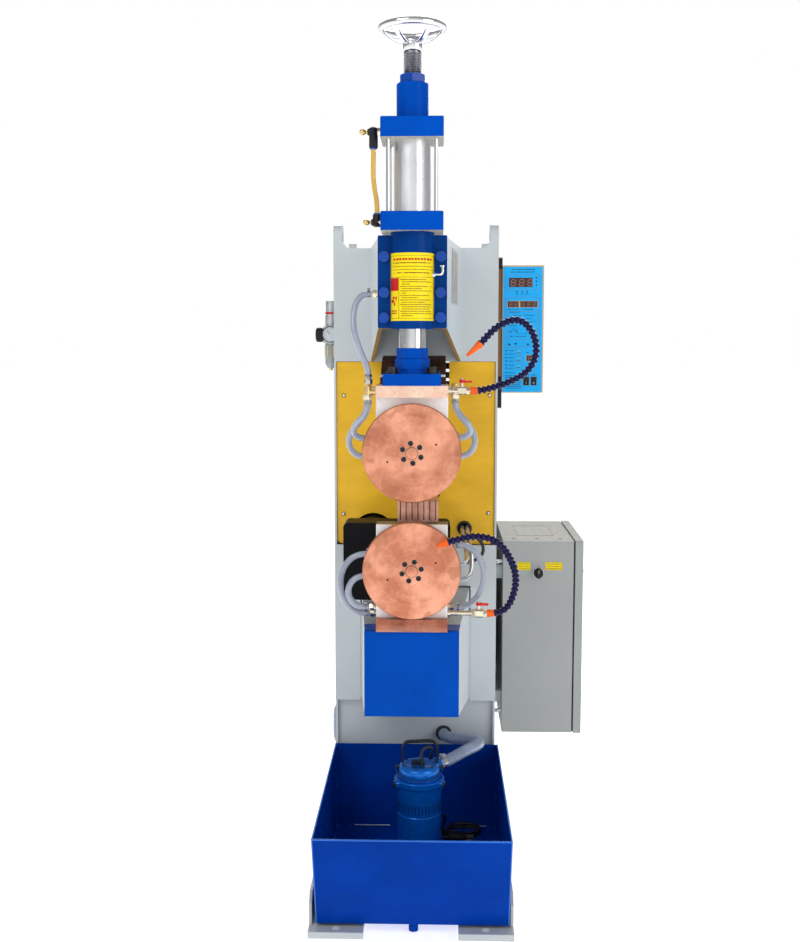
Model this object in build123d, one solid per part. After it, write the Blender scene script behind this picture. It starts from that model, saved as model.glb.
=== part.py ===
from build123d import *
import math
import os

# Roller spot welder, free standing, two copper wheel electrodes driven from the lower spindle.
# Millimetres. +Z up, the operator stands on the -Y side, +X is to the operator's right.
# Origin: centre of the four anchor holes in the base rails, at floor level.

# ---- driving dimensions: column ----
column_half_width = 195.0
column_front = -24.0
column_back = 536.0
column_top = 1439.0
side_thick = 5.0
head_bottom = 1173.0
panel_bottom = 733.0
cover_bend = 627.0
cover_bottom = 348.0
rail_plate = 14.0
lug_height = 56.0
lug_inset = 26.0

# ---- base rails and tank ----
rail_outer = 212.0
rail_inner = 98.0
rail_length = 543.0
rail_upstand = 65.0
anchor_x = 155.0
anchor_y = 525.0
anchor_hole_radius = 9.0
tank_centre = 3.0
tank_half_width = 200.0
tank_top = 235.0
tank_bottom = 22.0
tank_lip_front = -598.0
tank_toe_front = -520.0
tank_back = -24.6
tank_wall = 3.0
drain_radius = 10.0

# ---- welding line: ram, spindles and wheels ----
ram_y = -436.0
wheel_radius = 100.0
wheel_front = -490.0
wheel_thick = 18.0
upper_axis = 996.0
lower_axis = 756.0
head_half = 73.0
plate_front = -484.0
block_front = -466.0
block_back = -340.0
journal_radius = 25.0
running_gap = 0.05
body_gap = 0.3
spigot_radius = 12.5
screw_circle = 20.0
upper_screw_turn = 37.0
lower_screw_turn = 14.0
upper_block_low = 935.0
upper_block_high = 1107.0
upper_plate_high = 1131.0
flange_high = 1154.0
lower_plate_low = 629.0
lower_plate_high = 655.0
lower_block_high = 848.0
lower_block_step = 815.0
bus_centre = 12.0

# ---- cylinder stack, from the guide housing up ----
ram_radius = 27.5
ram_low = 1206.0
housing_radius = 44.0
housing_low = 1246.0
housing_high = 1436.0
housing_plate_front = -440.0
housing_plate_thick = 16.0
housing_half = 70.0
cap_half = 62.0
lower_cap_high = 1473.0
upper_cap_low = 1615.0
upper_cap_high = 1654.0
sleeve_high = 1727.0
lock_nut_high = 1744.0
cylinder_outer = 37.5
cylinder_inner = 32.5
tie_rod_place = 47.0
tie_rod_radius = 4.0
stop_low = 1582.0
stop_radius = 18.0
hub_low = 1788.0
hub_high = 1812.0
wheel_rim_z = 1833.0
wheel_rim_radius = 63.0
wheel_rim_tube = 7.0

# ---- arms ----
nose_front = -424.0
nose_half_front = 70.0
nose_half_back = 107.0
nose_wall = 8.0
arm_front = -478.0
arm_half_front = 97.5
arm_half_back = 131.0
arm_low_front = 449.0
arm_low_back = 350.0
arm_plate_thick = 12.0

# ---- wheel drive ----
gear_module = 3.0
gear_teeth = 44
pinion_teeth = 24
gear_width = 30.0
gear_case_front = -339.7
gear_case_back = -268.0
gear_case_low = 664.0
gear_case_high = 832.0
motor_radius = 46.0
motor_back = 110.0
motor_x = -gear_module * (gear_teeth + pinion_teeth) / 2
motor_notch_radius = 52.0
grommet_x = 118.0
grommet_z = 772.0
grommet_hole = 14.0

# ---- electrical cabinet and weld controller ----
cabinet_left = 221.0
cabinet_right = 401.0
cabinet_front = 136.0
cabinet_back = 486.0
cabinet_low = 214.0
cabinet_high = 714.0
cabinet_sheet = 2.0
door_left = 405.0
door_right = 425.0
hinge_x = 403.0
hinge_y = 490.5
selector_x = 311.0
selector_z = 633.0
controller_left = 206.0
controller_right = 304.0
controller_low = 1098.0
controller_high = 1400.0
controller_front = 0.0
controller_back = 130.0
rocker_z = 1126.0
rocker_half_width = 6.5
rocker_half_height = 9.0
rocker_well_gap = 0.5
rocker_pivot = 3.2
rocker_pin = 1.2
rocker_places = (264.0, 282.0)

# ---- air preparation unit on the left side ----
filter_x = -213.0
filter_y = 100.0

# ---- coolant pump ----
pump_x = 14.0
pump_y = -314.0
pump_floor = tank_bottom + tank_wall
outlet_z = 274.0
return_z = 262.0
hank_left = 78.0

# ---- hoses and cords ----
water_hose = 6.5
service_hose = 5.0
coolant_hose = 7.0
air_tube = 5.0
pump_hose = 13.0
pump_cord = 3.5
motor_cable = 4.0

feed_route = [
    (-84, -392, 1317), (-100, -392, 1317), (-114, -397, 1305), (-121, -405, 1283), (-122, -414, 1256),
    (-117, -421, 1228), (-108, -427, 1202), (-98, -431, 1180), (-90, -432, 1161), (-90, -432, 1143),
]
head_routes = [
    [(-90, -468, 1102), (-90, -468, 1085), (-98, -463, 1068), (-112, -452, 1055), (-121, -438, 1040),
     (-117, -425, 1026), (-103, -420, 1020), (-86, -420, 1020)],
    [(-90, -432, 1102), (-90, -432, 1083), (-101, -428, 1063), (-118, -420, 1045), (-131, -408, 1025),
     (-133, -394, 1003), (-123, -383, 985), (-105, -380, 978), (-86, -380, 978)],
    [(88, -408, 1102), (88, -408, 1085), (97, -411, 1069), (111, -415, 1056), (120, -414, 1041),
     (116, -406, 1027), (102, -402, 1020), (86, -402, 1020)],
    [(88, -372, 1102), (88, -372, 1083), (99, -374, 1064), (115, -377, 1047), (128, -377, 1028),
     (131, -373, 1006), (122, -368, 987), (105, -366, 978), (86, -366, 978)],
]
lower_routes = [
    [(-86, -410, 778), (-108, -410, 778), (-129, -411, 768), (-144, -412, 749), (-151, -413, 725), (-150, -413, 699),
     (-141, -412, 675), (-126, -411, 658), (-108, -410, 652), (-89, -410, 652)],
    [(-86, -444, 738), (-104, -444, 738), (-120, -445, 731), (-131, -446, 716), (-132, -446, 697), (-122, -445, 680),
     (-106, -444, 672), (-89, -444, 672)],
    [(86, -420, 800), (106, -420, 800), (126, -421, 790), (141, -422, 772), (149, -423, 748), (149, -423, 722),
     (141, -422, 698), (127, -421, 679), (109, -420, 668), (89, -420, 668)],
]
service_routes = [
    [(112.5, -22, 775), (112.5, -58, 775), (113, -100, 768), (115, -144, 757), (117, -188, 750), (118, -232, 746),
     (117, -274, 744), (115, -308, 744), (111, -334, 744), (101, -352, 744), (86, -352, 744)],
    [(123.5, -22, 775), (123.5, -60, 775), (124, -104, 770), (126, -150, 762), (128, -196, 752), (129, -242, 741),
     (128, -286, 731), (126, -322, 723), (120, -354, 718), (106, -376, 716), (86, -376, 716)],
]
side_route = [
    (-199, 250, 248), (-208, 250, 248), (-215, 250, 242), (-219, 250, 231), (-220, 251, 214), (-220, 252, 188),
    (-220, 251, 168), (-218, 250, 153), (-213, 250, 144), (-206, 250, 140), (-199, 250, 140),
]
motor_cable_route = [
    (118, -22, 764), (118, -36, 764), (124, -50, 763), (137, -60, 761), (151, -64, 753), (160, -64, 741), (163, -63, 726),
    (158, -63, 712), (145, -66, 703), (128, -76, 699), (110, -95, 697), (94, -122, 696), (80, -155, 696),
    (69, -190, 697), (62, -224, 699), (60, -250, 700), (60, -268, 700),
]
upper_coolant_route = [
    (120, -450, 1120), (137, -450, 1120), (158, -452, 1125), (180, -456, 1132), (202, -460, 1141), (222, -464, 1152),
    (238, -468, 1168), (247, -472, 1188), (248, -476, 1210), (242, -480, 1232), (230, -484, 1251), (212, -488, 1262),
    (191, -492, 1260), (172, -496, 1250), (156, -500, 1238), (135, -507, 1214),
]
lower_coolant_route = [
    (157, -450, 662), (173, -450, 662), (188, -455, 668), (200, -460, 682), (207, -464, 701), (212, -468, 722),
    (212, -474, 744), (207, -480, 765), (198, -488, 785), (187, -496, 804), (172, -503, 820), (153, -508, 829),
    (131, -512, 832), (109, -514, 831), (72, -514, 820),
]
outlet_route = [
    (57, -271, 274), (75, -253, 274), (98, -235, 281), (122, -214, 287), (142, -187, 287), (152, -156, 283),
    (150, -125, 277), (137, -98, 271), (117, -78, 266), (95, -64, 263), (79, -50, 262), (70, -36, 262), (70, -24, 262),
]
cord_route = [
    (18, -314, 300), (18, -314, 311), (21, -313, 320), (28, -311, 326), (36, -306, 326), (42, -297, 320),
    (43, -286, 309), (40, -275, 296), (35, -264, 280), (33, -256, 260), (31, -252, 236), (32, -250, 210),
    (38, -249, 184), (49, -242, 160), (60, -229, 141), (67, -210, 128), (71, -187, 119), (73, -163, 108),
    (73, -141, 93), (71, -121, 75), (67, -104, 56), (65, -90, 41), (67, -80, 33), (71, -74, 29.5), (76, -70.3, 28.8),
]
air_route = [(-78, -436, 1600), (-78, -436, 1580), (-79, -436, 1552), (-76, -436, 1522), (-71, -436, 1497),
             (-71, -436, 1475)]


def block(x0, x1, y0, y1, z0, z1):
    """Box between two corners."""
    return Pos((x0 + x1) / 2, (y0 + y1) / 2, (z0 + z1) / 2) * Box(x1 - x0, y1 - y0, z1 - z0)


def post(x, y, z0, z1, radius):
    """Upright cylinder."""
    return Pos(x, y, (z0 + z1) / 2) * Cylinder(radius, z1 - z0)


def bar_x(y, z, x0, x1, radius):
    """Cylinder along X."""
    return Pos((x0 + x1) / 2, y, z) * Rot(0, 90, 0) * Cylinder(radius, x1 - x0)


def bar_y(x, z, y0, y1, radius):
    """Cylinder along Y."""
    return Pos(x, (y0 + y1) / 2, z) * Rot(90, 0, 0) * Cylinder(radius, y1 - y0)


def hexagon(x, y, z0, z1, across_flats, turn=0.0):
    """Upright hexagonal prism."""
    outline = Plane.XY.offset(z0) * Pos(x, y) * Rot(0, 0, turn) * RegularPolygon(across_flats / 2, 6, major_radius=False)
    return extrude(outline, z1 - z0)


def side_profile(points, x0, x1):
    """Prism along X of an outline given as (Y, Z) points."""
    outline = Plane.YZ.offset(x0) * make_face(Polyline(*points, close=True))
    return extrude(outline, x1 - x0)


def plan_profile(points, z0, z1):
    """Prism along Z of an outline given as (X, Y) points."""
    outline = Plane.XY.offset(z0) * make_face(Polyline(*points, close=True))
    return extrude(outline, z1 - z0)


def turned(points, x, y):
    """Solid of revolution about an upright axis, from (radius, Z) points."""
    face = Plane.XZ * make_face(Polyline(*points, close=True))
    return Pos(x, y, 0) * revolve(face, Axis.Z)


def bend_radii(route):
    """Largest arc at each corner of a route that its two runs leave room for."""
    radii = []
    for before, corner, after in zip(route, route[1:], route[2:]):
        first = Vector(*corner) - Vector(*before)
        second = Vector(*after) - Vector(*corner)
        half_turn = math.radians(first.get_angle(second)) / 2
        radii.append(0.45 * min(first.length, second.length) / math.tan(half_turn))
    return radii


def hose(name, route, radius):
    """Round tube solid along a route of straight runs joined by tangent arcs."""
    radii = bend_radii(route)
    path = FilletPolyline(*route, radius=radii)
    section = Plane(origin=path @ 0, z_dir=path % 0) * Circle(radius)
    solid = sweep(section, path=path)
    expected = math.pi * radius * radius * path.length
    print(f"{name}: length {path.length:.0f}, least bend {min(radii):.0f}, volume ratio {solid.volume / expected:.3f}")
    return solid


def group(*solids):
    """Separate solids kept in one node."""
    return Compound(children=[s for item in solids for s in item.solids()])


def save(name, shape):
    """Writes one node."""
    export_step(shape, f"parts/{name}.step")


# ---------------- column and base ----------------

def lifting_lug(side, y):
    """Ear with an eye, welded to the top edge of a side plate."""
    outer = side * column_half_width
    inner = side * (column_half_width - 20)
    x0, x1 = min(outer, inner), max(outer, inner)
    ear = block(x0, x1, y - 30, y + 30, column_top, column_top + lug_height)
    ear = fillet(ear.edges().filter_by(Axis.X).group_by(Axis.Z)[-1], 22)
    foot_in = side * (column_half_width - 34)
    gusset = [(outer, column_top), (foot_in, column_top), (inner, column_top + 16), (outer, column_top + 16)]
    base = Plane.XZ.offset(-(y - 30)) * make_face(Polyline(*gusset, close=True))
    return ear + extrude(base, -60) - bar_x(y, column_top + 30, x0 - 1, x1 + 1, 13)


def column_frame():
    """Welded sheet column: sides, top, floor, head plate, plinth plate, shelf and lugs."""
    w = column_half_width
    inner = w - side_thick
    frame = block(-w, -inner, column_front, column_back, rail_plate, column_top)
    frame += block(inner, w, column_front, column_back, rail_plate, column_top)
    frame += block(-inner, inner, column_front, column_back - 4, column_top - 5, column_top)
    frame += block(-inner, inner, -12, column_back - 4, rail_plate, rail_plate + 6)
    frame += block(-inner, inner, column_front, column_front + 4, head_bottom, column_top - 5)
    frame += block(-inner, inner, -12, -8, rail_plate + 6, cover_bottom + 4)
    frame += block(-inner, inner, 130, column_back - 4, 640, 646)
    for side in (-1, 1):
        edge = block(inner - 20, inner, column_back - 8, column_back - 4, rail_plate + 6, column_top - 5)
        frame += edge if side > 0 else mirror(edge, Plane.YZ)
        for y in (column_front + lug_inset + 4, column_back - lug_inset - 4):
            frame += lifting_lug(side, y)
    frame += block(w, controller_left, 6, 36, 1060, 1418)
    for z in (300, 628):
        for y in (180, 442):
            frame += block(w, cabinet_left, y - 15, y + 15, z - 15, z + 15)
    frame -= bar_y(70, return_z, -20, 0, pump_hose + 1)
    return frame


def rear_cover():
    """Flat removable sheet let in between the side plates."""
    half = column_half_width - side_thick - 1
    cover = block(-half, half, column_back - 4, column_back - 1, rail_plate + 8, column_top - 7)
    for row in range(9):
        z = 980 + row * 26
        cover -= block(-90, 90, column_back - 6, column_back + 1, z, z + 8)
    cover -= bar_y(-120, 120, column_back - 6, column_back + 1, 20)
    return cover


def insulating_panel():
    """Yellow laminate sheet set just behind the front edges of the side plates."""
    half = column_half_width - side_thick - 0.5
    panel = block(-half, half, -20, -14, panel_bottom, head_bottom - 0.5)
    lower_corners = panel.edges().filter_by(Axis.Y).group_by(Axis.Z)[0]
    panel = fillet(lower_corners, 14)
    panel -= bar_y(motor_x, lower_axis, -30, 0, motor_notch_radius)
    panel -= bar_y(grommet_x, grommet_z, -30, 0, grommet_hole)
    panel -= block(-80, 80, -30, 0, 1118, head_bottom + 1)
    panel -= block(bus_centre - 46, bus_centre + 46, -30, 0, lower_block_high + 1, lower_block_high + 33)
    return panel


def lower_front_cover():
    """Folded grey cover below the panel, open in the middle for the lower arm."""
    top = panel_bottom - 1
    sheet = [(-34, cover_bottom), (-34, cover_bend), (-27.5, top), (-24.5, top), (-31, cover_bend), (-31, cover_bottom)]
    w = column_half_width
    cover = side_profile(sheet, -w, w)
    cheek = [(-31.5, cover_bottom), (-31.5, cover_bend), (-24.5, top), (-24.5, cover_bottom)]
    cover += side_profile(cheek, -w, -w + 3)
    cover += side_profile(cheek, w - 3, w)
    cover += block(-w, w, -34, -24.5, cover_bottom, cover_bottom + 3)
    opening = arm_half_back + 2.5
    cover -= block(-opening, opening, -40, -10, cover_bottom - 1, lower_plate_low + 4)
    return cover - bar_y(motor_x, lower_axis, -60, 0, motor_notch_radius)


def base_rails():
    """Two angle rails, each a foot plate with an upstand and tank bearer strips."""
    rail = block(rail_inner, rail_outer, -rail_length, rail_length, 0, rail_plate)
    top = rail_upstand + rail_plate
    up = [(-510, rail_plate), (-510, top - 19), (-490, top), (rail_length - 10, top), (rail_length, rail_plate)]
    rail += side_profile(up, rail_outer - 6, rail_outer)
    rail += block(rail_inner, rail_inner + 30, -490, -60, rail_plate, tank_bottom)
    for y in (-anchor_y, anchor_y):
        rail -= post(anchor_x, y, -1, rail_plate + 1, anchor_hole_radius)
    return group(rail, mirror(rail, Plane.YZ))


def coolant_tank():
    """Open sheet tank with a sloping front wall and an upright drain stub under its floor."""
    t = tank_wall
    outer = [(tank_lip_front, tank_top), (tank_toe_front, tank_bottom), (tank_back, tank_bottom), (tank_back, tank_top)]
    slope = (tank_toe_front - tank_lip_front) / (tank_top - tank_bottom)
    inner_top = tank_top + 10
    inner = [(tank_lip_front + t - slope * 10, inner_top), (tank_toe_front + t, tank_bottom + t),
             (tank_back - t, tank_bottom + t), (tank_back - t, inner_top)]
    tank = side_profile(outer, tank_centre - tank_half_width, tank_centre + tank_half_width)
    tank -= side_profile(inner, tank_centre - tank_half_width + t, tank_centre + tank_half_width - t)
    tank += post(5, -505, 3, tank_bottom + 0.5, drain_radius)
    return tank - post(5, -505, 2, tank_bottom + t + 1, drain_radius - 3)


# ---------------- arms ----------------

def nose_box():
    """Tapered upper arm, open underneath, that carries the guide housing."""
    def shape(half_front, half_back, front, low_front, low_back, high_front, high_back):
        plan = [(-half_front, front), (half_front, front), (half_back, column_front), (-half_back, column_front)]
        prism = plan_profile(plan, low_back - 5, high_back + 5)
        side = [(front, low_front), (column_front, low_back), (column_front, high_back), (front, high_front)]
        return prism & side_profile(side, -half_back, half_back)

    body = shape(nose_half_front, nose_half_back, nose_front, housing_low, head_bottom + 1, 1428, 1438)
    hollow = shape(nose_half_front - nose_wall, nose_half_back - nose_wall, nose_front + 14, housing_low - 60,
                   head_bottom - 60, 1420, 1430)
    body -= hollow
    for x, z in housing_bolt_places():
        body -= bar_y(x, z, nose_front - 1, nose_front + 16, 6.05)
    return body - post(0, ram_y, 1200, 1500, housing_radius + 2)


def lower_arm():
    """Tapered box arm welded to a back plate that ties it into the column."""
    front = arm_front + arm_plate_thick
    top = lower_plate_low
    plan = [(-arm_half_front, front), (arm_half_front, front), (arm_half_back, -19), (-arm_half_back, -19)]
    side = [(front, arm_low_front), (-19, arm_low_back), (-19, top), (front, top)]
    arm = plan_profile(plan, arm_low_back, top) & side_profile(side, -arm_half_back, arm_half_back)
    t = 10
    plan_in = [(-arm_half_front + t, front + t), (arm_half_front - t, front + t), (arm_half_back - t, -18),
               (-arm_half_back + t, -18)]
    side_in = [(front + t, arm_low_front + t), (-18, arm_low_back + t), (-18, top - t), (front + t, top - t)]
    arm -= plan_profile(plan_in, arm_low_back, top) & side_profile(side_in, -arm_half_back, arm_half_back)
    inner = column_half_width - side_thick
    return arm + block(-inner, inner, -19, -12.5, cover_bottom + 5, 638)


def arm_front_plate():
    """Blue plate that closes the front of the lower arm."""
    plate = block(-arm_half_front, arm_half_front, arm_front, arm_front + arm_plate_thick, arm_low_front, lower_plate_low)
    return chamfer(plate.edges().group_by(Axis.Y)[0], 1.5)


# ---------------- pressure cylinder ----------------

def housing_bolt_places():
    """The six bolts of the guide housing, as (X, Z)."""
    return [(side * 57.0, z) for side in (-1, 1) for z in (1389.0, 1317.0, 1267.0)]


def guide_housing():
    """Flange plate and upright barrel that guide the ram."""
    back = housing_plate_front + housing_plate_thick
    body = block(-housing_half, housing_half, housing_plate_front, back, housing_low, 1431)
    body = fillet(body.edges().filter_by(Axis.Y), 3)
    body += post(0, ram_y, housing_low - 2, housing_high, housing_radius)
    body -= post(0, ram_y, housing_low - 3, housing_high + 1, ram_radius + running_gap)
    for x, z in housing_bolt_places():
        body -= bar_y(x, z, housing_plate_front - 1, back + 1, 6.75)
    return body


def hex_bolt_y(x, z, face, shank):
    """Hexagon bolt and washer pointing into a face that looks along -Y."""
    head = Plane.XZ.offset(-face + 2.5) * Pos(x, z) * RegularPolygon(9.5, 6, major_radius=False)
    bolt = extrude(head, 7.5) + bar_y(x, z, face - 2.5, face + shank, 6)
    washer = bar_y(x, z, face - 2.5, face, 11) - bar_y(x, z, face - 3, face + 1, 6.2)
    return group(bolt, washer)


def housing_bolts():
    """Six hexagon bolts with washers."""
    return group(*[hex_bolt_y(x, z, housing_plate_front, 28) for x, z in housing_bolt_places()])


def cylinder_caps():
    """Square end caps; the upper one carries the sleeve of the stroke stop."""
    lower = block(-cap_half, cap_half, ram_y - cap_half, ram_y + cap_half, housing_high, lower_cap_high)
    lower = fillet(lower.edges().filter_by(Axis.Z), 4)
    lower = chamfer(lower.edges().group_by(Axis.Z)[-1], 1.5)
    lower -= post(0, ram_y, housing_high - 1, lower_cap_high + 1, 12.5 + running_gap)
    upper = block(-cap_half, cap_half, ram_y - cap_half, ram_y + cap_half, upper_cap_low, upper_cap_high)
    upper = fillet(upper.edges().filter_by(Axis.Z), 4)
    upper = chamfer(upper.edges().group_by(Axis.Z)[-1], 1.5)
    upper += post(0, ram_y, upper_cap_high, sleeve_high, 32)
    upper = chamfer(upper.edges().group_by(Axis.Z)[-1], 2)
    upper -= post(0, ram_y, upper_cap_low - 1, sleeve_high + 1, stop_radius + running_gap)
    for x in (-tie_rod_place, tie_rod_place):
        for y in (ram_y - tie_rod_place, ram_y + tie_rod_place):
            hole = post(x, y, housing_high + 12, upper_cap_high - 12, tie_rod_radius + running_gap)
            lower -= hole
            upper -= hole
    return group(lower, upper)


def cylinder_barrel():
    """Aluminium cylinder tube."""
    tube = post(0, ram_y, lower_cap_high, upper_cap_low, cylinder_outer)
    return tube - post(0, ram_y, lower_cap_high - 1, upper_cap_low + 1, cylinder_inner)


def tie_rods():
    """Four rods screwed into both caps."""
    places = [(x, ram_y + y) for x in (-tie_rod_place, tie_rod_place) for y in (-tie_rod_place, tie_rod_place)]
    return group(*[post(x, y, housing_high + 13, upper_cap_high - 13, tie_rod_radius) for x, y in places])


def lock_nut():
    """Hexagon nut that locks the stroke stop."""
    nut = hexagon(0, ram_y, sleeve_high, lock_nut_high, 49, turn=30)
    nut &= turned([(0, sleeve_high), (28, sleeve_high), (28, lock_nut_high - 2.5), (24, lock_nut_high), (0, lock_nut_high)],
                  0, ram_y)
    return nut - post(0, ram_y, sleeve_high - 1, lock_nut_high + 1, stop_radius + running_gap)


def adjusting_screw():
    """Stroke stop: a threaded bar whose lower end stops the piston."""
    pitch = 3.0
    points = [(0, stop_low), (stop_radius, stop_low), (stop_radius, lock_nut_high + 1)]
    z = lock_nut_high + 1
    while z + pitch < hub_low - 1:
        points += [(stop_radius - 1.4, z + pitch / 2), (stop_radius, z + pitch)]
        z += pitch
    points += [(stop_radius, hub_low - 0.3), (9.9, hub_low - 0.3), (9.9, hub_high + 4), (0, hub_high + 4)]
    return turned(points, 0, ram_y)


def handwheel():
    """Dished wheel: hub, five spokes and a round rim."""
    hub = turned([(10, hub_low), (17, hub_low), (20, hub_low + 3), (20, hub_high), (10, hub_high)], 0, ram_y)
    rim = Pos(0, ram_y, wheel_rim_z) * Torus(wheel_rim_radius, wheel_rim_tube)
    wheel = hub + rim
    for number in range(5):
        start = Vector(15, 0, hub_high - 6)
        end = Vector(wheel_rim_radius, 0, wheel_rim_z)
        axis = end - start
        spoke = Plane(origin=start, z_dir=axis) * Pos(0, 0, axis.length / 2) * Cylinder(4.5, axis.length)
        wheel += Pos(0, ram_y, 0) * Rot(0, 0, 90 + 72 * number) * spoke
    return wheel - post(0, ram_y, hub_low - 5, hub_high + 20, 10)


# ---------------- ram and upper head ----------------

def piston_rod():
    """Piston, thin rod and guided ram in one turned piece."""
    points = [
        (0, 1430), (0, stop_low - 2), (cylinder_inner - running_gap, stop_low - 2),
        (cylinder_inner - running_gap, stop_low - 27), (12.5, stop_low - 27), (12.5, 1430),
    ]
    piston = turned(points, 0, ram_y)
    ram = turned([(0, 1431), (26, 1431), (ram_radius, 1429), (ram_radius, ram_low), (0, ram_low)], 0, ram_y)
    return piston + ram


def ram_flange():
    """Lock nut on the ram, and the flange with its hexagon and neck."""
    nut = hexagon(0, ram_y, 1184.3, ram_low - 0.1, 55.5)
    flange = block(-58.5, 58.5, ram_y - 50, ram_y + 50, upper_plate_high, flange_high)
    flange = chamfer(flange.edges().filter_by(Axis.Z), 3)
    flange += post(0, ram_y, flange_high, 1164, 30)
    flange += hexagon(0, ram_y, 1164, 1184, 61)
    for x, y in flange_screw_places():
        flange -= post(x, y, upper_plate_high - 1, flange_high + 1, 5.5)
    return group(nut, flange)


def flange_screw_places():
    """Four screws of the ram flange, as (X, Y)."""
    return [(x, ram_y + y) for x in (-40, 40) for y in (-20, 20)]


def flange_screws():
    """Four socket cap screws."""
    made = []
    for x, y in flange_screw_places():
        screw = post(x, y, flange_high, flange_high + 14, 8.5) + post(x, y, 1085, flange_high, 5)
        made.append(screw - hexagon(x, y, flange_high + 7, flange_high + 15, 8))
    return group(*made)


def upper_copper_plate():
    """Copper current plate between the ram flange and the bearing block."""
    plate = block(-head_half, head_half, plate_front, block_back, upper_block_high, upper_plate_high)
    plate = chamfer(plate.edges().filter_by(Axis.Z), 1.5)
    for x, y in flange_screw_places():
        plate -= post(x, y, upper_block_high - 1, upper_plate_high + 1, 5.5)
    return plate


def bearing_block(low, high, axis):
    """Block that a spindle runs in."""
    body = block(-head_half, head_half, block_front, block_back, low, high)
    body = chamfer(body.edges().filter_by(Axis.Z), 2)
    return body - bar_y(0, axis, block_front - 1, block_back + 1, journal_radius + running_gap)


def upper_bearing_block():
    """Bearing block of the upper spindle."""
    body = bearing_block(upper_block_low, upper_block_high, upper_axis)
    for x, y in flange_screw_places():
        body -= post(x, y, 1084, upper_block_high + 1, 5.05)
    return body


def lower_bearing_block():
    """Bearing block of the lower spindle, stepped down behind its front for the copper bus."""
    body = bearing_block(lower_plate_high, lower_block_high, lower_axis)
    return body - block(-head_half - 1, head_half + 1, -426, block_back + 1, lower_block_step, lower_block_high + 1)


def spindle(axis, rear_radius, rear_end, screw_turn):
    """Spindle with a front flange, a spigot for the wheel and six wheel screws."""
    back = wheel_front + wheel_thick
    shaft = bar_y(0, axis, back, block_front - body_gap, 36)
    shaft += bar_y(0, axis, block_front - body_gap, block_back + body_gap, journal_radius)
    shaft += bar_y(0, axis, block_back + body_gap, rear_end, rear_radius)
    shaft += bar_y(0, axis, wheel_front - 1, back, spigot_radius)
    solids = []
    for number in range(6):
        angle = math.radians(screw_turn + 60 * number)
        x = screw_circle * math.cos(angle)
        z = axis + screw_circle * math.sin(angle)
        shaft -= bar_y(x, z, back - 1, back + 4.5, 3)
        head = bar_y(x, z, wheel_front + 2, wheel_front + 8, 4.9)
        head += bar_y(x, z, wheel_front + 8, back + 4, 2.9)
        solids.append(head - Plane.XZ.offset(-wheel_front - 1) * hex_socket(x, z))
    return group(shaft, *solids)


def hex_socket(x, z):
    """Hexagon recess cutter for a wheel screw, drawn in the spindle's own plane."""
    return Pos(x, z, -5) * extrude(RegularPolygon(2.5, 6, major_radius=False), 4.5)


def electrode_wheel(axis, screw_turn):
    """Copper wheel with a centre hole and six counterbored screw holes."""
    back = wheel_front + wheel_thick
    wheel = bar_y(0, axis, wheel_front, back, wheel_radius)
    wheel = chamfer(wheel.edges(), 1.5)
    wheel -= bar_y(0, axis, wheel_front - 1, back + 1, spigot_radius + running_gap)
    for number in range(6):
        angle = math.radians(screw_turn + 60 * number)
        x = screw_circle * math.cos(angle)
        z = axis + screw_circle * math.sin(angle)
        wheel -= bar_y(x, z, wheel_front - 1, wheel_front + 8.3, 5.3)
        wheel -= bar_y(x, z, wheel_front, back + 1, 3.3)
    return wheel


def copper_shunt():
    """Laminated flexible copper band from the transformer terminal to the upper copper plate."""
    low = [(-396 + 12, 1131.3), (-345, 1131.3), (-300, 1150), (-240, 1172), (-180, 1176), (-120, 1162), (-70, 1140),
           (-30, 1131), (20, 1130)]
    band = [(y, z) for y, z in low] + [(y, z + 13) for y, z in reversed(low)]
    return side_profile(band, -70, 70)


# ---------------- lower head and drive ----------------

def lower_bus():
    """Ribbed copper bus from the transformer to the top of the lower block."""
    low, left, right = lower_block_high, bus_centre - 42, bus_centre + 42
    bus = block(left, right, -440, -344, low, low + 45) + block(left, right, -425.7, -344, lower_block_step, low)
    for x in range(-36, 37, 12):
        bus -= block(bus_centre + x - 1.2, bus_centre + x + 1.2, -441, -427, low + 6, low + 46)
    return bus + block(left, right, -344, 120, low + 6, low + 26)


def involute(angle):
    """Involute function."""
    return math.tan(angle) - angle


def spur_gear(teeth, x, z, front, bore, turn):
    """Straight-toothed gear about an axis along Y."""
    pitch_radius = gear_module * teeth / 2
    pressure = math.radians(20)
    base_radius = pitch_radius * math.cos(pressure)
    root = pitch_radius - 1.25 * gear_module
    tip = pitch_radius + gear_module
    half_at_pitch = math.pi / (2 * teeth) - 0.10 / pitch_radius
    flank = []
    for step in range(5):
        radius = max(base_radius, root) + (tip - max(base_radius, root)) * step / 4
        half = half_at_pitch + involute(pressure) - involute(math.acos(min(1, base_radius / radius)))
        flank.append((radius, half))
    if root < base_radius:
        flank.insert(0, (root, flank[0][1]))
    points = []
    for number in range(teeth):
        centre = math.radians(turn) + 2 * math.pi * number / teeth
        tooth = [(r, centre - a) for r, a in flank] + [(r, centre + a) for r, a in reversed(flank)]
        points += [(r * math.cos(a), r * math.sin(a)) for r, a in tooth]
    face = Plane.XZ.offset(-front) * Pos(x, z) * make_face(Polyline(*points, close=True))
    return extrude(face, -gear_width) - bar_y(x, z, front - 1, front + gear_width + 1, bore)


def drive_gear():
    """Large gear on the lower spindle."""
    return spur_gear(gear_teeth, 0, lower_axis, -320, 20.02, 0)


def pinion():
    """Motor pinion with its shaft."""
    gear = spur_gear(pinion_teeth, motor_x, lower_axis, -320, 5, 180 / pinion_teeth)
    return gear + bar_y(motor_x, lower_axis, -326, 20, 12)


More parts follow.
